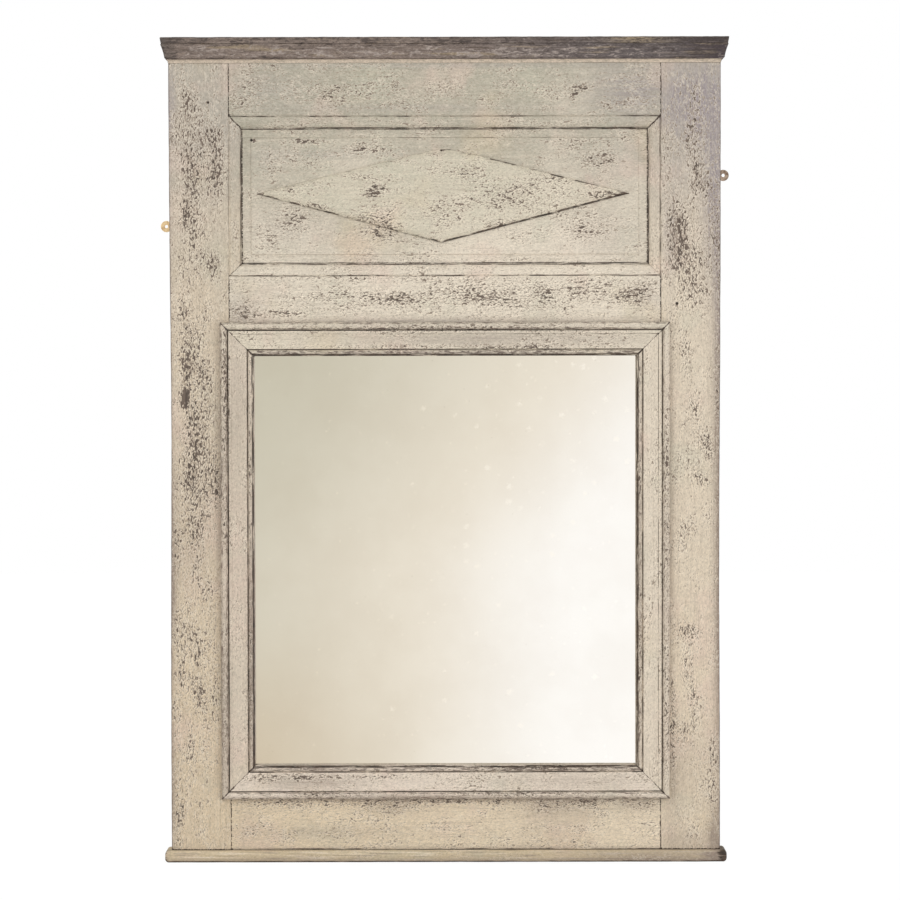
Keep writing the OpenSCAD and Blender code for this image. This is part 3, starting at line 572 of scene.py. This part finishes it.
def panel_ring(s):
    share = min(1.0, max(0.0, FIELD_HALF + HALF_STEP - abs(s)))
    field = MARGIN_OUT + (FIELD_OUT - MARGIN_OUT) * share
    low, high = PANEL_LAP, PANEL_LAP + PANEL_HIGH - PANEL_LOW
    foot, head = low + MARGIN_W, high - MARGIN_W
    end = min(1.0, max(0.0, (abs(s) - END_DIRT_AND_SHADE_FROM) / (END_DIRT_AND_SHADE_FULL - END_DIRT_AND_SHADE_FROM)))
    end *= 1.3 if s < 0 else 1.1
    side = max(0.5 * (1 - min(1.0, abs(abs(s) - FIELD_HALF) / 1.5)), end)
    # Dirt and painted contact shadow darken the margin along the grooves and at both ends, more at the left,
    # and dirt and painted shade give the field's step a fainter line.
    ring = eased([
        (0, PANEL_BACK, 0, 0, 0, 1), (0, MARGIN_OUT, 0, 0, 1.3), (low + 1.3, MARGIN_OUT, 0, 0, 1.3),
        (low + 3.0, MARGIN_OUT, 0, 0, end), (foot - HALF_STEP, MARGIN_OUT, 0, 0, max(0.4, end)),
        (foot + HALF_STEP, field, 0, 0.3, side), (head - HALF_STEP, field, 0, 0.3, side),
        (head + HALF_STEP, MARGIN_OUT, 0, 0, max(0.6, end)), (high - 2.6, MARGIN_OUT, 0, 0, end),
        (high - 0.9, MARGIN_OUT, 0, 0, 1.2), (high + PANEL_LAP, MARGIN_OUT, 0, 0, 1.2),
        (high + PANEL_LAP, PANEL_BACK, 0, 0, 0, 1),
    ])
    return [
        (u, v, rub, max(dirt, end) if v > PANEL_BACK + 1 else dirt, bare) for u, v, rub, dirt, bare in ring
    ]


panel_breaks = (FIELD_HALF - HALF_STEP, FIELD_HALF + HALF_STEP, END_DIRT_AND_SHADE_FROM, END_DIRT_AND_SHADE_FULL)
wooden("painted_upper_panel", [shell(
    panel_ring, lambda u, v: (-PANEL_HALF - PANEL_LAP, PANEL_HALF + PANEL_LAP),
    lambda s, u, v: (s, -v, PANEL_LOW - PANEL_LAP + u), [
        (-286, 1083.5, 2.5, 2.5, 4.0), (-206, 1082, 36, 3, 1.0), (-263, 1049, 20, 18, 0.8),
        (-198, 1050, 28, 14, 0.8), (-113, 1070, 40, 8, 0.9), (-233, 956, 40, 26, 0.7),
        (-100, 942, 34, 10, 0.9), (-265, 924, 20, 6, 0.8),
        (193, 1081, 68, 5, 0.9), (232, 1055, 32, 14, 0.8), (211, 953, 50, 26, 0.6), (106, 905, 30, 3, 0.8),
    ], [
        (-240, 950, 50, 34, 0.25), (-265, 1050, 30, 30, 0.2), (-180, 1062, 120, 8, 0.3),
        (240, 940, 60, 40, 0.3), (250, 1060, 60, 40, 0.25),
    ], breaks=[turn * place for turn in (-1, 1) for place in panel_breaks],
)], paint_level, "frame_paint", "upper_panel")


# A thin board cut by hand to a long lozenge lies on the panel, glued and
# pinned. Its edges are planed off to a bevel, and its sharp tips have chipped.
def lozenge(mid_x=-2.5, mid_z=999.4, thick=6.0, bevel=6.5, foot=2.0, steps=36):
    """steps is how many points each side has. The dirt and painted shade of the
    sides go from the left tip over the top, and a level is (share, height, rub, grime and shade)."""
    corners = [(-279, 3.5), (-44, 61.5), (-6, 69.5), (10, 69.5), (72, 56), (279, 3.5), (-3, -70)]
    # Dirt and painted shade on each side, heaviest on the lower sides where shadow falls below the raised
    # board.
    edge_dirt_and_shade = (0.5, 0.45, 0.55, 0.55, 0.95, 1.3, 0.85)
    inset = bevel / 68.0
    waver, waver_length, patch_length = 0.006, 30.0, 19.0
    flaking = spread([
        (-109, 1002, 6, 5, 2.6), (-99, 1012, 6, 5, 2.0), (-139, 1029, 20, 4, 1.0), (-232, 1008, 8, 5, 1.0),
        (-182, 983, 26, 6, 0.8), (-122, 968, 36, 9, 0.9), (-20, 977, 34, 18, 0.65), (34, 1037, 28, 12, 1.0),
        (101, 998, 60, 24, 0.8), (245, 1001, 28, 6, 1.6), (85, 959, 34, 6, 0.9), (7, 961, 16, 9, 0.7),
        (-2, 1069, 3, 2, 3.0), (-279, 1003, 6, 5, 3.5), (274, 1002, 8, 4, 3.5), (-215, 984, 30, 5, 0.9),
        (-100, 955, 50, 6, 0.9), (190, 1024, 60, 5, 0.7),
    ])
    # The foot and the lower bevel are darkened with dirt and painted shadow.
    levels = [(1.0, -0.4, 0.0, 1.0), (1.0, foot * 0.5, 0.1, 1.0), (0.997, foot, 0.1, 1.0)]
    levels += [(1 - inset * 0.22, foot + 0.9, 0.0, 0.9), (1 - inset * 0.5, foot + 2.0, 0.0, 0.25)]
    levels += [(1 - inset * 0.94, thick - 0.25, 0.2, 0.0), (1 - inset * 1.08, thick, 0.2, 0.0)]
    levels += [(1 - inset * 1.3 - k * 0.067, thick, 0.0, 0.0) for k in range(13)]
    points, marks = [], []
    for share, out, rub, grime_and_shade in levels:
        for start, end, dirt in zip(corners, corners[1:] + corners[:1], edge_dirt_and_shade):
            for t in (k / steps for k in range(steps)):
                x, z = (start[i] + (end[i] - start[i]) * t for i in (0, 1))
                hand = noise.noise(Vector((x / waver_length, z / waver_length, 3.0)))
                hand = 1 - waver * max(0.0, hand)
                x, z = x * share * hand, z * share * hand
                lift = out - planed_off(Vector((x, out, z)), 0.2, 40.0, 0.5 * rub, 9.0) if out > 0 else out
                patchy = 0.8 + 0.7 * noise.noise(Vector((x / patch_length, z / patch_length, 8.0)))
                patchy = patchy if dirt < 1.1 else 1.0
                x, z = mid_x + x, mid_z + z
                points.append((x, -(FIELD_OUT + lift), z))
                marks.append((rub, grime_and_shade * dirt * patchy, flaking(x, z), 0.0, 0.0))
    cream = (206, 197, 177)
    paint = old_paint("old_paint_lozenge", "x", cream, cream, (196, 189, 169), 0.2, [(-5, 1067.5, 1.6)])
    outline = (points, marks, len(corners) * steps)
    wooden("painted_lozenge", [outline], paint, "moulding_paint", "lozenge")


lozenge()


# Two riven pegs lock each tenon. They are driven in from the back and cut
# off flush, so only their round end grain shows there.
def bare_finish(name, grain, light, dark):
    wood, place = begun(name)
    colour, fibre = raw_wood(place, grain, light, dark)
    rough = rise(fibre, 0.3, 0.7, 0.72, 0.88)
    return surfaced(wood, colour, rough, fibre, 0.6, 0.0006, Specular_IOR_Level=0.25)


def dress(node, finish):
    """Gives a CAD node that stays its finish."""
    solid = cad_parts[node]
    solid.data.materials.clear()
    solid.data.materials.append(finish)


dress("joint_pegs", bare_finish("peg_end_grain", "y", (150, 118, 84), (104, 78, 54)))


# Four lengths of moulding, mitred at the corners, are pinned round the
# mirror: a bead, a broad hollow, a fillet and a larger bead outside. Dusters
# have rubbed both beads through to the dark ground. The pins are of iron.
SIGHT_IN, TONGUE = 37.0, 22.7
SIGHT_HALF_W, SIGHT_LOW, SIGHT_HIGH = OPENING_HALF - SIGHT_IN, MIRROR_LOW + SIGHT_IN, MIRROR_HIGH - SIGHT_IN


def arc(across, out, radius, first, last, turn):
    angles = [math.radians(a) for a in range(first, last, turn)]
    return [(across + radius * math.cos(a), out + radius * math.sin(a)) for a in angles]


def mould_ring(inner_line, fillet_line, outer_line, foot_line_and_shadow, inner_rub, outer_rub):
    """Section from the sight edge outwards, with the dirt in its four lines, the
    last, at the foot, also painted shadow, and how much its two beads are rubbed.
    The tongue goes back into the opening."""
    inner = [
        (u, v, 0, inner_rub if v > 5.4 else inner_rub * 0.75, 1.3 if u < 2.9 else 0.2)
        for u, v in arc(5.7, 3.1, 3.5, 165, 0, -20)
    ]
    hollow = [
        (10.5 + 22.7 * t, 6.2 + 3.2 * t - 1.1 * math.sin(math.pi * t), 0, 0, 0)
        for t in (k / 14 for k in range(1, 14))
    ]
    outer = [
        (u, v, 0, outer_rub * 0.75 if v > 11.4 else outer_rub, 0.45 if v < 6 else -0.8)
        for u, v in arc(44.75, 6.55, 5.75, 168, -1, -14)
    ]
    return eased([
        # The sight edge and its corner with the glass are darkened with dirt and painted shadow.
        (0, -9.9, 0, 0, 1.2), (0, -8.6, 0, 0, 0.3), (0, -4, 0, 0, 0), (0, 0.9, 0, 0, 0.2),
        (0, 1.9, 0.3, 0.4, 3.0), (1.2, 2.8, 0, 0, 1.8), (2.2, 3.4, 0, 0, 1.6), *inner,
        (9.3, 3.4, 0, 0, inner_line), (10.4, 3.4, 0, 0, inner_line), (10.5, 6.2, 0.4, 0.5, inner_line * 0.6),
        *hollow, (33.1, 9.4, 0, 0, fillet_line), (33.2, 10.2, 0.3, 0.5, 0.2),
        (37.7, 10.2, 0.3, 0.55, outer_line * 0.5), (37.75, 6.6, 0, 0, outer_line),
        (38.9, 6.6, 0, 0, outer_line), (39.1, 7.6, 0, 0, outer_line * 0.8), *outer[1:],
        (50.5, 3, 0, 0.2, foot_line_and_shadow * 0.6), (50.5, 0, 0, 0, foot_line_and_shadow), (36.7, 0, 0, 0, 0, 1),
        (36.5, -TONGUE, 0.3, 0, 0, 1), (9.5, -TONGUE, 0.3, 0, 0, 1), (9.5, -9.9, 0, 0, 0, 1),
    ])


paint_mould_upright = old_paint(
    "old_paint_moulding_upright", "z", (213, 199, 180), (211, 198, 179), (211, 198, 179), 0.18,
)
paint_mould_level = old_paint(
    "old_paint_moulding_level", "x", (227, 213, 197), (214, 204, 184), (214, 204, 184), 0.2,
)


def planted(name, paint, lines, reach, seat, flakes, haze_and_shade_places):
    length = shell(mould_ring(*lines), reach, seat, flakes, haze_and_shade_places, ease=0.4, wave=0.12, joint=(0.9, 0.9))
    wooden("painted_" + name, [length], paint, "moulding_paint", name)


def level_moulding(name, sight, turn, lines, flakes, haze_and_shade_places):
    """Widens up or down from the sight edge by turn."""
    planted(
        name, paint_mould_level, lines, lambda u, v: (-SIGHT_HALF_W - u, SIGHT_HALF_W + u),
        lambda s, u, v: (s, -STILE_T - v, sight + turn * u), flakes, haze_and_shade_places,
    )


def upright_moulding(name, side, lines, flakes, haze_and_shade_places):
    planted(
        name, paint_mould_upright, lines, lambda u, v: (SIGHT_LOW - u, SIGHT_HIGH + u),
        lambda s, u, v: (side * (SIGHT_HALF_W + u), -STILE_T - v, s), flakes, haze_and_shade_places,
    )


# The second list of each length lays haze and painted shade along the sight edge, in the hollow and along the
# outer bead.
level_moulding("moulding_top", SIGHT_HIGH, 1, (1.0, 0.7, 1.2, 1.1, 0.62, 0.62), [
    (-130, 801, 130, 6, 0.8), (60, 801, 120, 6, 1.0), (-120, 774, 120, 4, 0.7), (80, 774, 120, 4, 0.7),
], [
    (0, 763, 290, 4, 0.9), (0, 805, 330, 8, 0.4), (80, 784, 230, 12, 0.75),
])
level_moulding("moulding_bottom", SIGHT_LOW, -1, (1.0, 0.45, 1.1, 1.3, 0.62, 0.62), [
    (-230, 128, 60, 5, 1.0), (-110, 129, 80, 4, 0.8), (120, 142, 110, 4, 0.9), (150, 102, 100, 5, 0.7),
    (-180, 101, 100, 5, 0.8),
], [
    (-200, 142, 90, 4, 0.8), (150, 142, 130, 4, 0.9), (0, 99, 330, 5, 0.9), (-210, 122, 80, 12, 0.7),
    (210, 122, 110, 12, 0.45), (0, 122, 330, 12, 0.2),
])
upright_moulding("moulding_left", -1, (1.0, 0.45, 1.3, 1.0, 0.54, 0.62), [
    (-330, 745, 8, 40, 0.8), (-330, 640, 8, 80, 0.8), (-326, 690, 4, 50, 1.0), (-331, 520, 8, 50, 0.7),
    (-331, 250, 8, 110, 0.7), (-294, 640, 4, 90, 0.4), (-294, 300, 4, 120, 0.8),
    (-328.9, 792.5, 2.5, 2.5, 4.0),
], [
    (-331, 600, 9, 140, 0.65), (-331, 230, 9, 140, 1.0), (-291, 640, 6, 100, 0.25),
    (-291, 300, 6, 200, 1.3), (-310, 450, 14, 320, 0.22), (-310, 690, 14, 140, 0.4),
])
upright_moulding("moulding_right", 1, (0.9, 0.9, 1.2, 1.0, 0.55, 0.56), [
    (331, 560, 7, 140, 0.9), (331, 240, 7, 90, 0.9), (290, 560, 4, 160, 0.6), (290, 260, 4, 110, 0.7),
    (325.7, 799, 2, 2, 3.0),
], [
    (290, 450, 5, 320, 0.8), (331, 420, 8, 360, 0.45),
])


def rusted_iron():
    metal, place = begun("rusted_nail_iron")
    spots = specked(place, (500, 500, 500), 4.0, 0.6)
    colour = over(rise(spots, 0.4, 0.65), (66, 58, 54), (112, 70, 46))
    rough = rise(spots, 0.3, 0.7, 0.5, 0.85)
    return surfaced(metal, colour, rough, spots, 0.5, 0.0002, Metallic=0.6)


iron = rusted_iron()
dress("moulding_pins", iron)


# A core block carries a small moulding in front and at both ends, mitred at
# the corners, with a board on top. The paint has worn off down to a dark
# purplish brown in streaks, and only the lowest member is still cream.
CORNICE_LOW, CORNICE_H, CORNICE_D = FRAME_HIGH, 28.0, 18.0
TOP_HALF, TOP_LEAN = 422.4, 6.25


def worn_paint(name, grain):
    """Paint worn to the wood: rub is how much has gone, from 0 to 1."""
    paint, place = begun(name)
    across = put(place, "SeparateXYZ", {0: place}).outputs["X"]
    streak = specked(place, along(grain, 520, 14), 4.0, 0.65)
    dabs = specked(place, along(grain, 210, 64), 4.0, 0.66, 3.0, 1.0)
    patch = specked(place, along(grain, 120, 9), 3.0, 0.55, 8.0)
    grit = specked(place, along(grain, 560, 300), 2.0, 0.65, 5.0)
    # This mark makes the streaks lighter or darker in places; the darker ones are partly painted shade.
    brushed = plus(dabs, times(marked(place, "haze_and_shade"), 0.08))
    wood = over(rise(across, -0.1, 0.30), (124, 110, 101), (92, 84, 83))
    wood = stained(wood, [
        (across, 0.33, 0.42, 1.0, (66, 57, 62)), (across, -0.395, -0.43, 1.0, (84, 78, 74)),
        (patch, 0.56, 0.7, 0.75, (154, 137, 112)), (patch, 0.46, 0.32, 0.7, (90, 78, 70)),
        (marked(place, "flaking"), 0.1, 0.9, 0.7, (158, 140, 112)),
        (brushed, 0.53, 0.66, 0.85, (164, 152, 144)), (brushed, 0.48, 0.34, 0.85, (66, 57, 54)),
        (streak, 0.5, 0.72, 0.4, (160, 146, 136)), (streak, 0.48, 0.3, 0.5, (72, 62, 58)),
    ])
    cream = over(rise(dabs, 0.4, 0.6), (203, 187, 168), (180, 166, 148))
    cream = stained(cream, [(grit, 0.62, 0.7, 0.7, (118, 104, 94))])
    gone = rise(plus(marked(place, "rub"), times(dabs, 0.8)), 0.72, 0.95)
    colour = dimmed(over(gone, cream, wood), rise(grit, 0.28, 0.72, 0.76, 1.2))
    # Dirt and painted shadow in the lines and under the curves darken it further.
    soot_and_shade = plus(marked(place, "grime_and_shade"), times(dabs, 1.4))
    colour = stained(colour, [(soot_and_shade, 1.2, 1.6, 0.85, (56, 47, 45))])
    raw, fibre = raw_wood(place, grain, (166, 134, 100), (120, 92, 66))
    colour = over(marked(place, "bare"), colour, raw)
    rough = rise(dabs, 0.3, 0.7, 0.55, 0.72)
    relief = plus(dabs, times(plus(fibre, grit), 0.4))
    return surfaced(paint, colour, rough, relief, 0.6, 0.0006, Specular_IOR_Level=0.3)


worn_front = worn_paint("worn_cornice_level", "x")
worn_side = worn_paint("worn_cornice_return", "y")
# Painted shadow darkens the underside of the reverse curve.
reverse = [(
    0.6 + 4.7 * (1 - math.cos(math.radians(a))) / 2, 2.4 + 5.6 * a / 180,
    0, 0.8 if a > 90 else a / 260, 0.4 if 90 < a < 170 else 0.1,
) for a in range(0, 181, 20)]
cove = [(5.3 + 5 * k / 8 - 0.5 * math.sin(math.pi * k / 8), 9 + 17 * k / 8, 0, 0.9) for k in range(9)]
cornice_ring = eased([
    (-CORNICE_D, 0, 0, 0, 0, 1), (0.2, 0, 0, 0, 0.1), (0.5, 1.2, 0.2, 0, 0), *reverse,
    (5.3, 8.7, 0, 0.9, 0.3), *cove, (10.3, CORNICE_H - 0.4, 0, 1.0, 0.5), (10.3, CORNICE_H, 0, 1.0, 0.6),
    (-CORNICE_D, CORNICE_H, 0, 0, 0, 1),
])
wooden("worn_cornice_front", [shell(
    cornice_ring, lambda u, v: (-BODY_HALF - u, BODY_HALF + u),
    lambda s, u, v: (s, -STILE_T - u, CORNICE_LOW + v), haze_and_shade_places=[
        (-130, 1214, 330, 6, 0.9), (150, 1208, 200, 4, 0.5), (0, 1203, 600, 3, -0.7),
        (380, 1214, 50, 12, -1.4), (-406, 1214, 14, 12, -1.0), (0, 1224, 600, 2.5, -0.8),
        (415, 1202, 8, 4, 1.6),
    ], ease=0.4,
)], worn_front, "cornice_paint", "cornice_front")
for side, name in ((-1, "cornice_return_left"), (1, "cornice_return_right")):
    wooden("worn_" + name, [shell(
        cornice_ring, lambda u, v: (-STILE_T - u, -BACK),
        lambda s, u, v, side=side: (side * (BODY_HALF + u), s, CORNICE_LOW + v), ease=0.4,
    )], worn_side, "cornice_paint", name)
core_ring = [(0, BACK), (0, STILE_T - CORNICE_D), (CORNICE_H, STILE_T - CORNICE_D), (CORNICE_H, BACK)]
wooden("bare_cornice_core", [shell(
    eased([(u, v, 0.4, 0, 0, 1) for u, v in core_ring]),
    lambda u, v: (-BODY_HALF + CORNICE_D, BODY_HALF - CORNICE_D), lambda s, u, v: (s, -v, CORNICE_LOW + u),
)], worn_front, "bare_softwood", "cornice_core")
wooden("worn_cornice_top_board", [shell(
    # The board's lower front edge is darkened with dirt and with painted shadow in the gap below it.
    eased([
        (BACK, 0, 0.4, 0, 0, 1), (42.5, 0, 0.3, 1.8, 0.8), (43.5, 8.8, 0.5, 2, 0.6),
        (42.6, 10, 0.6, 2, 1.2), (40, 10, 0, 0, 0, 1), (BACK, 10, 0.4, 0, 0, 1),
    ]),
    lambda u, v: (-TOP_HALF - v / TOP_LEAN, TOP_HALF + v / TOP_LEAN),
    lambda s, u, v: (s, -u, CORNICE_LOW + CORNICE_H + v),
    [(288, 1230, 60, 6, 1.0), (-290, 1229, 30, 3, 0.9), (-120, 1231, 60, 3, 0.6), (40, 1230, 50, 3, 0.6)],
    [(-405, 1230, 30, 10, -1.6), (400, 1230, 60, 10, -2.0), (0, 1235, 500, 2, -1.2), (0, 1229, 600, 9, -0.5)],
    ease=1.2, nick=0.8, joint=(0.0, 0.0),
)], worn_front, "cornice_paint", "cornice_top_board")
dress("cornice_nails", iron)


# A strip nailed under the frame, its front and both ends rounded with a
# plane. It stands out past the frame on three sides.
def nosing(depth=41.0, half=421.5, corner=5.0):
    radius = FRAME_LOW / 2
    front = arc(depth - corner, corner - radius, corner, -90, 1, 15) + [(depth, -1.5), (depth, 1.5)]
    front += arc(depth - corner, radius - corner, corner, 0, 91, 15)
    # The lower front edge is darkened with painted shadow where it meets the floor, and the line under the
    # frame with dirt and painted shadow.
    ring = eased([
        (BACK, -radius, 0, 0, 0, 1),
        *((u, v, 0, 0.15, 1.4 if v < -7 else 0.6 if v < -6 else 0) for u, v in front),
        (35.5, radius, 0, 0, 0.7), (34.6, radius, 0, 0, 1.4), (STILE_T, radius, 0, 0, 1.5),
        (BACK, radius, 0, 0, 0, 1),
    ])
    inner = half - corner
    ends = []
    for a in (10, 22, 34, 46, 58, 68, 76, 83, 88):
        turn = math.radians(a)
        ends.append((inner + corner * math.sin(turn), (radius - corner + corner * math.cos(turn)) / radius))
    stations = [(-s, height) for s, height in reversed(ends)]
    stations += [(inner * (2 * k / 186 - 1), 1.0) for k in range(187)] + ends
    flaking = spread([(330, 11, 60, 12, 0.4), (60, 6, 120, 5, 0.1)])
    # Painted shade on the lower part of the front, and a darker haze on the right part and at both ends.
    haze_and_shade = spread([
        (330, 9, 150, 12, 0.85), (-421, 9, 4, 12, 0.6), (408, 9, 16, 14, 1.3),
        (0, 3, 800, 3.5, 0.8), (40, 9, 60, 5, 0.3), (-250, 7, 60, 3, 0.4),
    ])
    points, marks = [], []
    for s, height in stations:
        # Both ends are darker, the right one further in.
        ends_darker = max(0.0, -s - 413) / 13 + max(0.0, s - 400) / 16
        for u, v, rub, grime_and_shade, bare in ring:
            dip = planed_off(Vector((s, u, v)), 0.2, 40.0, 0.6 * rub, 9.0)
            points.append((s, -(u - dip if u > depth / 2 else u), radius + v * (1 - dip / radius) * height))
            marks.append((rub, max(grime_and_shade, ends_darker), flaking(s, radius + v), haze_and_shade(s, radius + v), bare))
    cream = (200, 183, 152)
    # Its painted light runs the other way, a little darker towards the right.
    paint = old_paint("old_paint_nosing", "x", cream, cream, cream, -0.2, drawn=1.5, light_from_right=-0.1)
    wooden("painted_base_nosing", [(points, marks, len(ring))], paint, "frame_paint", "base_nosing")


nosing()
dress("nosing_nails", iron)


# Old mirror plate, silvered on its back and foxed here and there. Small
# softwood blocks, glued to the moulding's tongue, hold it forward.
def silvering():
    glass, place = begun("foxed_silvered_glass")
    parts = put(place, "SeparateXYZ", {0: place})
    cloud = specked(place, (9, 9, 9), 3.0, 0.55)
    cells = put(place, "TexVoronoi", {"Vector": place, "Scale": 62.0}, feature="F1")
    luck = put(place, "SeparateColor", {0: cells.outputs["Color"]})
    rightwards = rise(parts.outputs["X"], -0.05, 0.26)
    corner = times(rightwards, rise(parts.outputs["Z"], 0.42, 0.7))
    left_side = rise(parts.outputs["X"], -0.22, 0.0, -0.12, 0.0)
    chance = plus(luck.outputs[0], plus(times(corner, 0.16), left_side))
    size = times(rise(chance, 0.88, 0.97), rise(luck.outputs[1], 0.0, 1.0, 0.1, 0.27))
    dust = specked(place, (330, 330, 330), 2.0, 0.5, 3.0)
    ragged = plus(cells.outputs["Distance"], rise(dust, 0.35, 0.65, -0.09, 0.09))
    dot = rise(reckon("SUBTRACT", ragged, size), 0.18, -0.18)
    scratch = specked(place, (60, 60, 700), 2.0, 0.5, 6.0)
    colour = over(rise(cloud, 0.35, 0.7), (238, 238, 236), (234, 233, 230))
    colour = over(times(dot, 0.5), colour, (255, 254, 250))
    colour = stained(colour, [
        (dust, 0.74, 0.8, 0.35, (176, 168, 156)), (scratch, 0.8, 0.84, 0.3, (190, 182, 170)),
    ])
    return surfaced(glass, colour, rise(dot, 0.0, 1.0, 0.05, 0.12), Metallic=1.0)


def mirror_plate(worn_edge=0.0006):
    low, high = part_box("mirror_glass")
    mesh = bpy.data.meshes.new("foxed_mirror_plate")
    solid = bmesh.new()
    bmesh.ops.create_cube(solid, size=1.0)
    for vert in solid.verts:
        vert.co = [low[i] + (vert.co[i] + 0.5) * (high[i] - low[i]) for i in range(3)]
    bmesh.ops.bevel(solid, geom=solid.edges[:], offset=worn_edge, segments=2, affect="EDGES")
    solid.to_mesh(mesh)
    solid.free()
    finished("foxed_mirror_plate", mesh, silvering(), "silvered_glass", "mirror_glass")


mirror_plate()
dress("glass_blocks", bare_finish("block_softwood", "z", (176, 144, 104), (136, 104, 72)))


# Four rough boards close the back of the mirror. They lie in the rebate and
# are nailed at both ends, with a narrow gap between them.
BOARD_HALF, BOARD_BACK, BOARD_FRONT, BOARD_STEP = 333.2, 1.15, 9.0, 9.0
board_wood = bare_finish("sawn_back_board", "x", (168, 136, 100), (122, 94, 68))
for name in ("back_board_1", "back_board_2", "back_board_3", "back_board_4"):
    low, high = (corner.z * 1000 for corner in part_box(name))
    width = high - low
    board_ring = eased([
        (0, BOARD_BACK, 0.6, 0, 0.4, 1), (0, BOARD_FRONT, 0.3, 0, 0, 1),
        (width, BOARD_FRONT, 0.3, 0, 0, 1), (width, BOARD_BACK, 0.6, 0, 0.4, 1),
    ], BOARD_STEP)
    wooden("sawn_" + name, [shell(
        board_ring, lambda u, v: (-BOARD_HALF, BOARD_HALF), lambda s, u, v, low=low: (s, -v, low + u),
        step=BOARD_STEP, wave=0.3,
    )], board_wood, "bare_softwood", name)
dress("back_board_nails", iron)


# A brass plate is let into the back of each stile, with a round ear that
# stands out past the side for the wall screw. Two screws hold each plate.
# The left plate is still pale, and the right one has gone brown.
def old_brass(name, bright, dull):
    brass, place = begun(name)
    tarnish = specked(place, (240, 240, 240), 4.0, 0.6)
    colour = over(rise(tarnish, 0.38, 0.66), bright, dull)
    rough = rise(tarnish, 0.3, 0.7, 0.34, 0.6)
    return surfaced(brass, colour, rough, tarnish, 0.3, 0.0002, Metallic=0.7)


pale_brass = old_brass("pale_plate_brass", (232, 208, 168), (206, 178, 138))
brown_brass = old_brass("brown_plate_brass", (176, 158, 142), (128, 108, 94))
dress("hanging_plate_left", pale_brass)
dress("hanging_plate_right", brown_brass)
dress("plate_screws", brown_brass)


# The mirror stands on a plain pale floor in soft light from above and in
# front. The camera is where the photograph was taken from.
WHITE = (1, 1, 1, 1)


def pale_floor(half=6):
    mesh = bpy.data.meshes.new("pale_floor")
    corners = [(-half, -half, 0), (half, -half, 0), (half, half, 0), (-half, half, 0)]
    mesh.from_pydata(corners, [], [(0, 1, 2, 3)])
    paper = bpy.data.materials.new("pale_floor")
    paper.use_nodes = True
    tree = paper.node_tree
    tree.nodes.clear()
    path = put(tree, "LightPath")
    matt = put(tree, "BsdfDiffuse", {"Color": (0.8, 0.8, 0.8, 1)}).outputs[0]
    white = put(tree, "Emission", {"Color": WHITE, "Strength": 1.06}).outputs[0]
    whiteness = times(path.outputs["Is Camera Ray"], 0.88)
    seen = put(tree, "MixShader", {0: whiteness, 1: matt, 2: white}).outputs[0]
    gone = put(tree, "BsdfTransparent").outputs[0]
    both = put(tree, "MixShader", {0: path.outputs["Is Glossy Ray"], 1: seen, 2: gone}).outputs[0]
    put(tree, "OutputMaterial", {0: both})
    mesh.materials.append(paper)
    floor = placed("pale_floor", mesh)


def room_light():
    """The room is paler towards the window at the right, which the glass shows."""
    world = bpy.data.worlds.new("soft_room")
    bpy.context.scene.world = world
    world.use_nodes = True
    tree = world.node_tree
    tree.nodes.clear()
    path = put(tree, "LightPath")
    toward = put(tree, "SeparateXYZ", {0: put(tree, "TexCoord").outputs["Generated"]})
    right, up = toward.outputs["X"], toward.outputs["Z"]
    down = reckon("MINIMUM", times(up, -1.0), 0.07)
    slant = plus(right, times(down, 0.7))
    wall = over(rise(slant, -0.06, 0.06), (202, 196, 178), (236, 227, 212))
    wall = over(rise(slant, 0.03, 0.095), wall, (255, 252, 249))
    low_left = times(rise(up, -0.08, -0.14), rise(right, 0.0, -0.07))
    wall = over(times(low_left, 0.6), wall, (206, 186, 158))
    soft = put(tree, "Background", {"Color": WHITE, "Strength": 0.90}).outputs[0]
    mirrored = put(tree, "Background", {"Color": wall, "Strength": 1.17}).outputs[0]
    white = put(tree, "Background", {"Color": WHITE, "Strength": 1.0}).outputs[0]
    glossy = put(tree, "MixShader", {0: path.outputs["Is Glossy Ray"], 1: soft, 2: mirrored}).outputs[0]
    seen = put(tree, "MixShader", {0: path.outputs["Is Camera Ray"], 1: glossy, 2: white}).outputs[0]
    put(tree, "OutputWorld", {0: seen})


def lamp(name, place, aim, width, power):
    light = bpy.data.lights.new(name, "AREA")
    light.size = width
    light.energy = power
    holder = placed(name, light)
    holder.location = place
    holder.rotation_euler = (Vector(aim) - Vector(place)).to_track_quat("-Z", "Y").to_euler()


def camera(away=4.5, height=0.7557, tilt_down=1.747, roll=0.107):
    """Stands away metres in front of the wall; both angles are in degrees."""
    lens = bpy.data.cameras.new("photo_camera")
    lens.lens = 119.37
    lens.sensor_width = 36.0
    lens.shift_x = 0.00553
    view = placed("photo_camera", lens)
    view.location = (0.0, -away, height)
    view.rotation_euler = (math.radians(90 - tilt_down), math.radians(roll), 0.0)
    bpy.context.scene.camera = view


pale_floor()
room_light()
lamp("soft_key", (-1.6, -2.8, 1.8), (0.0, 0.0, 0.6), 1.4, 13.5)
lamp("low_window", (2.1, -2.6, 0.7), (0.0, 0.0, 0.4), 1.6, 17.5)
camera()
bpy.context.scene.view_settings.view_transform = "Standard"
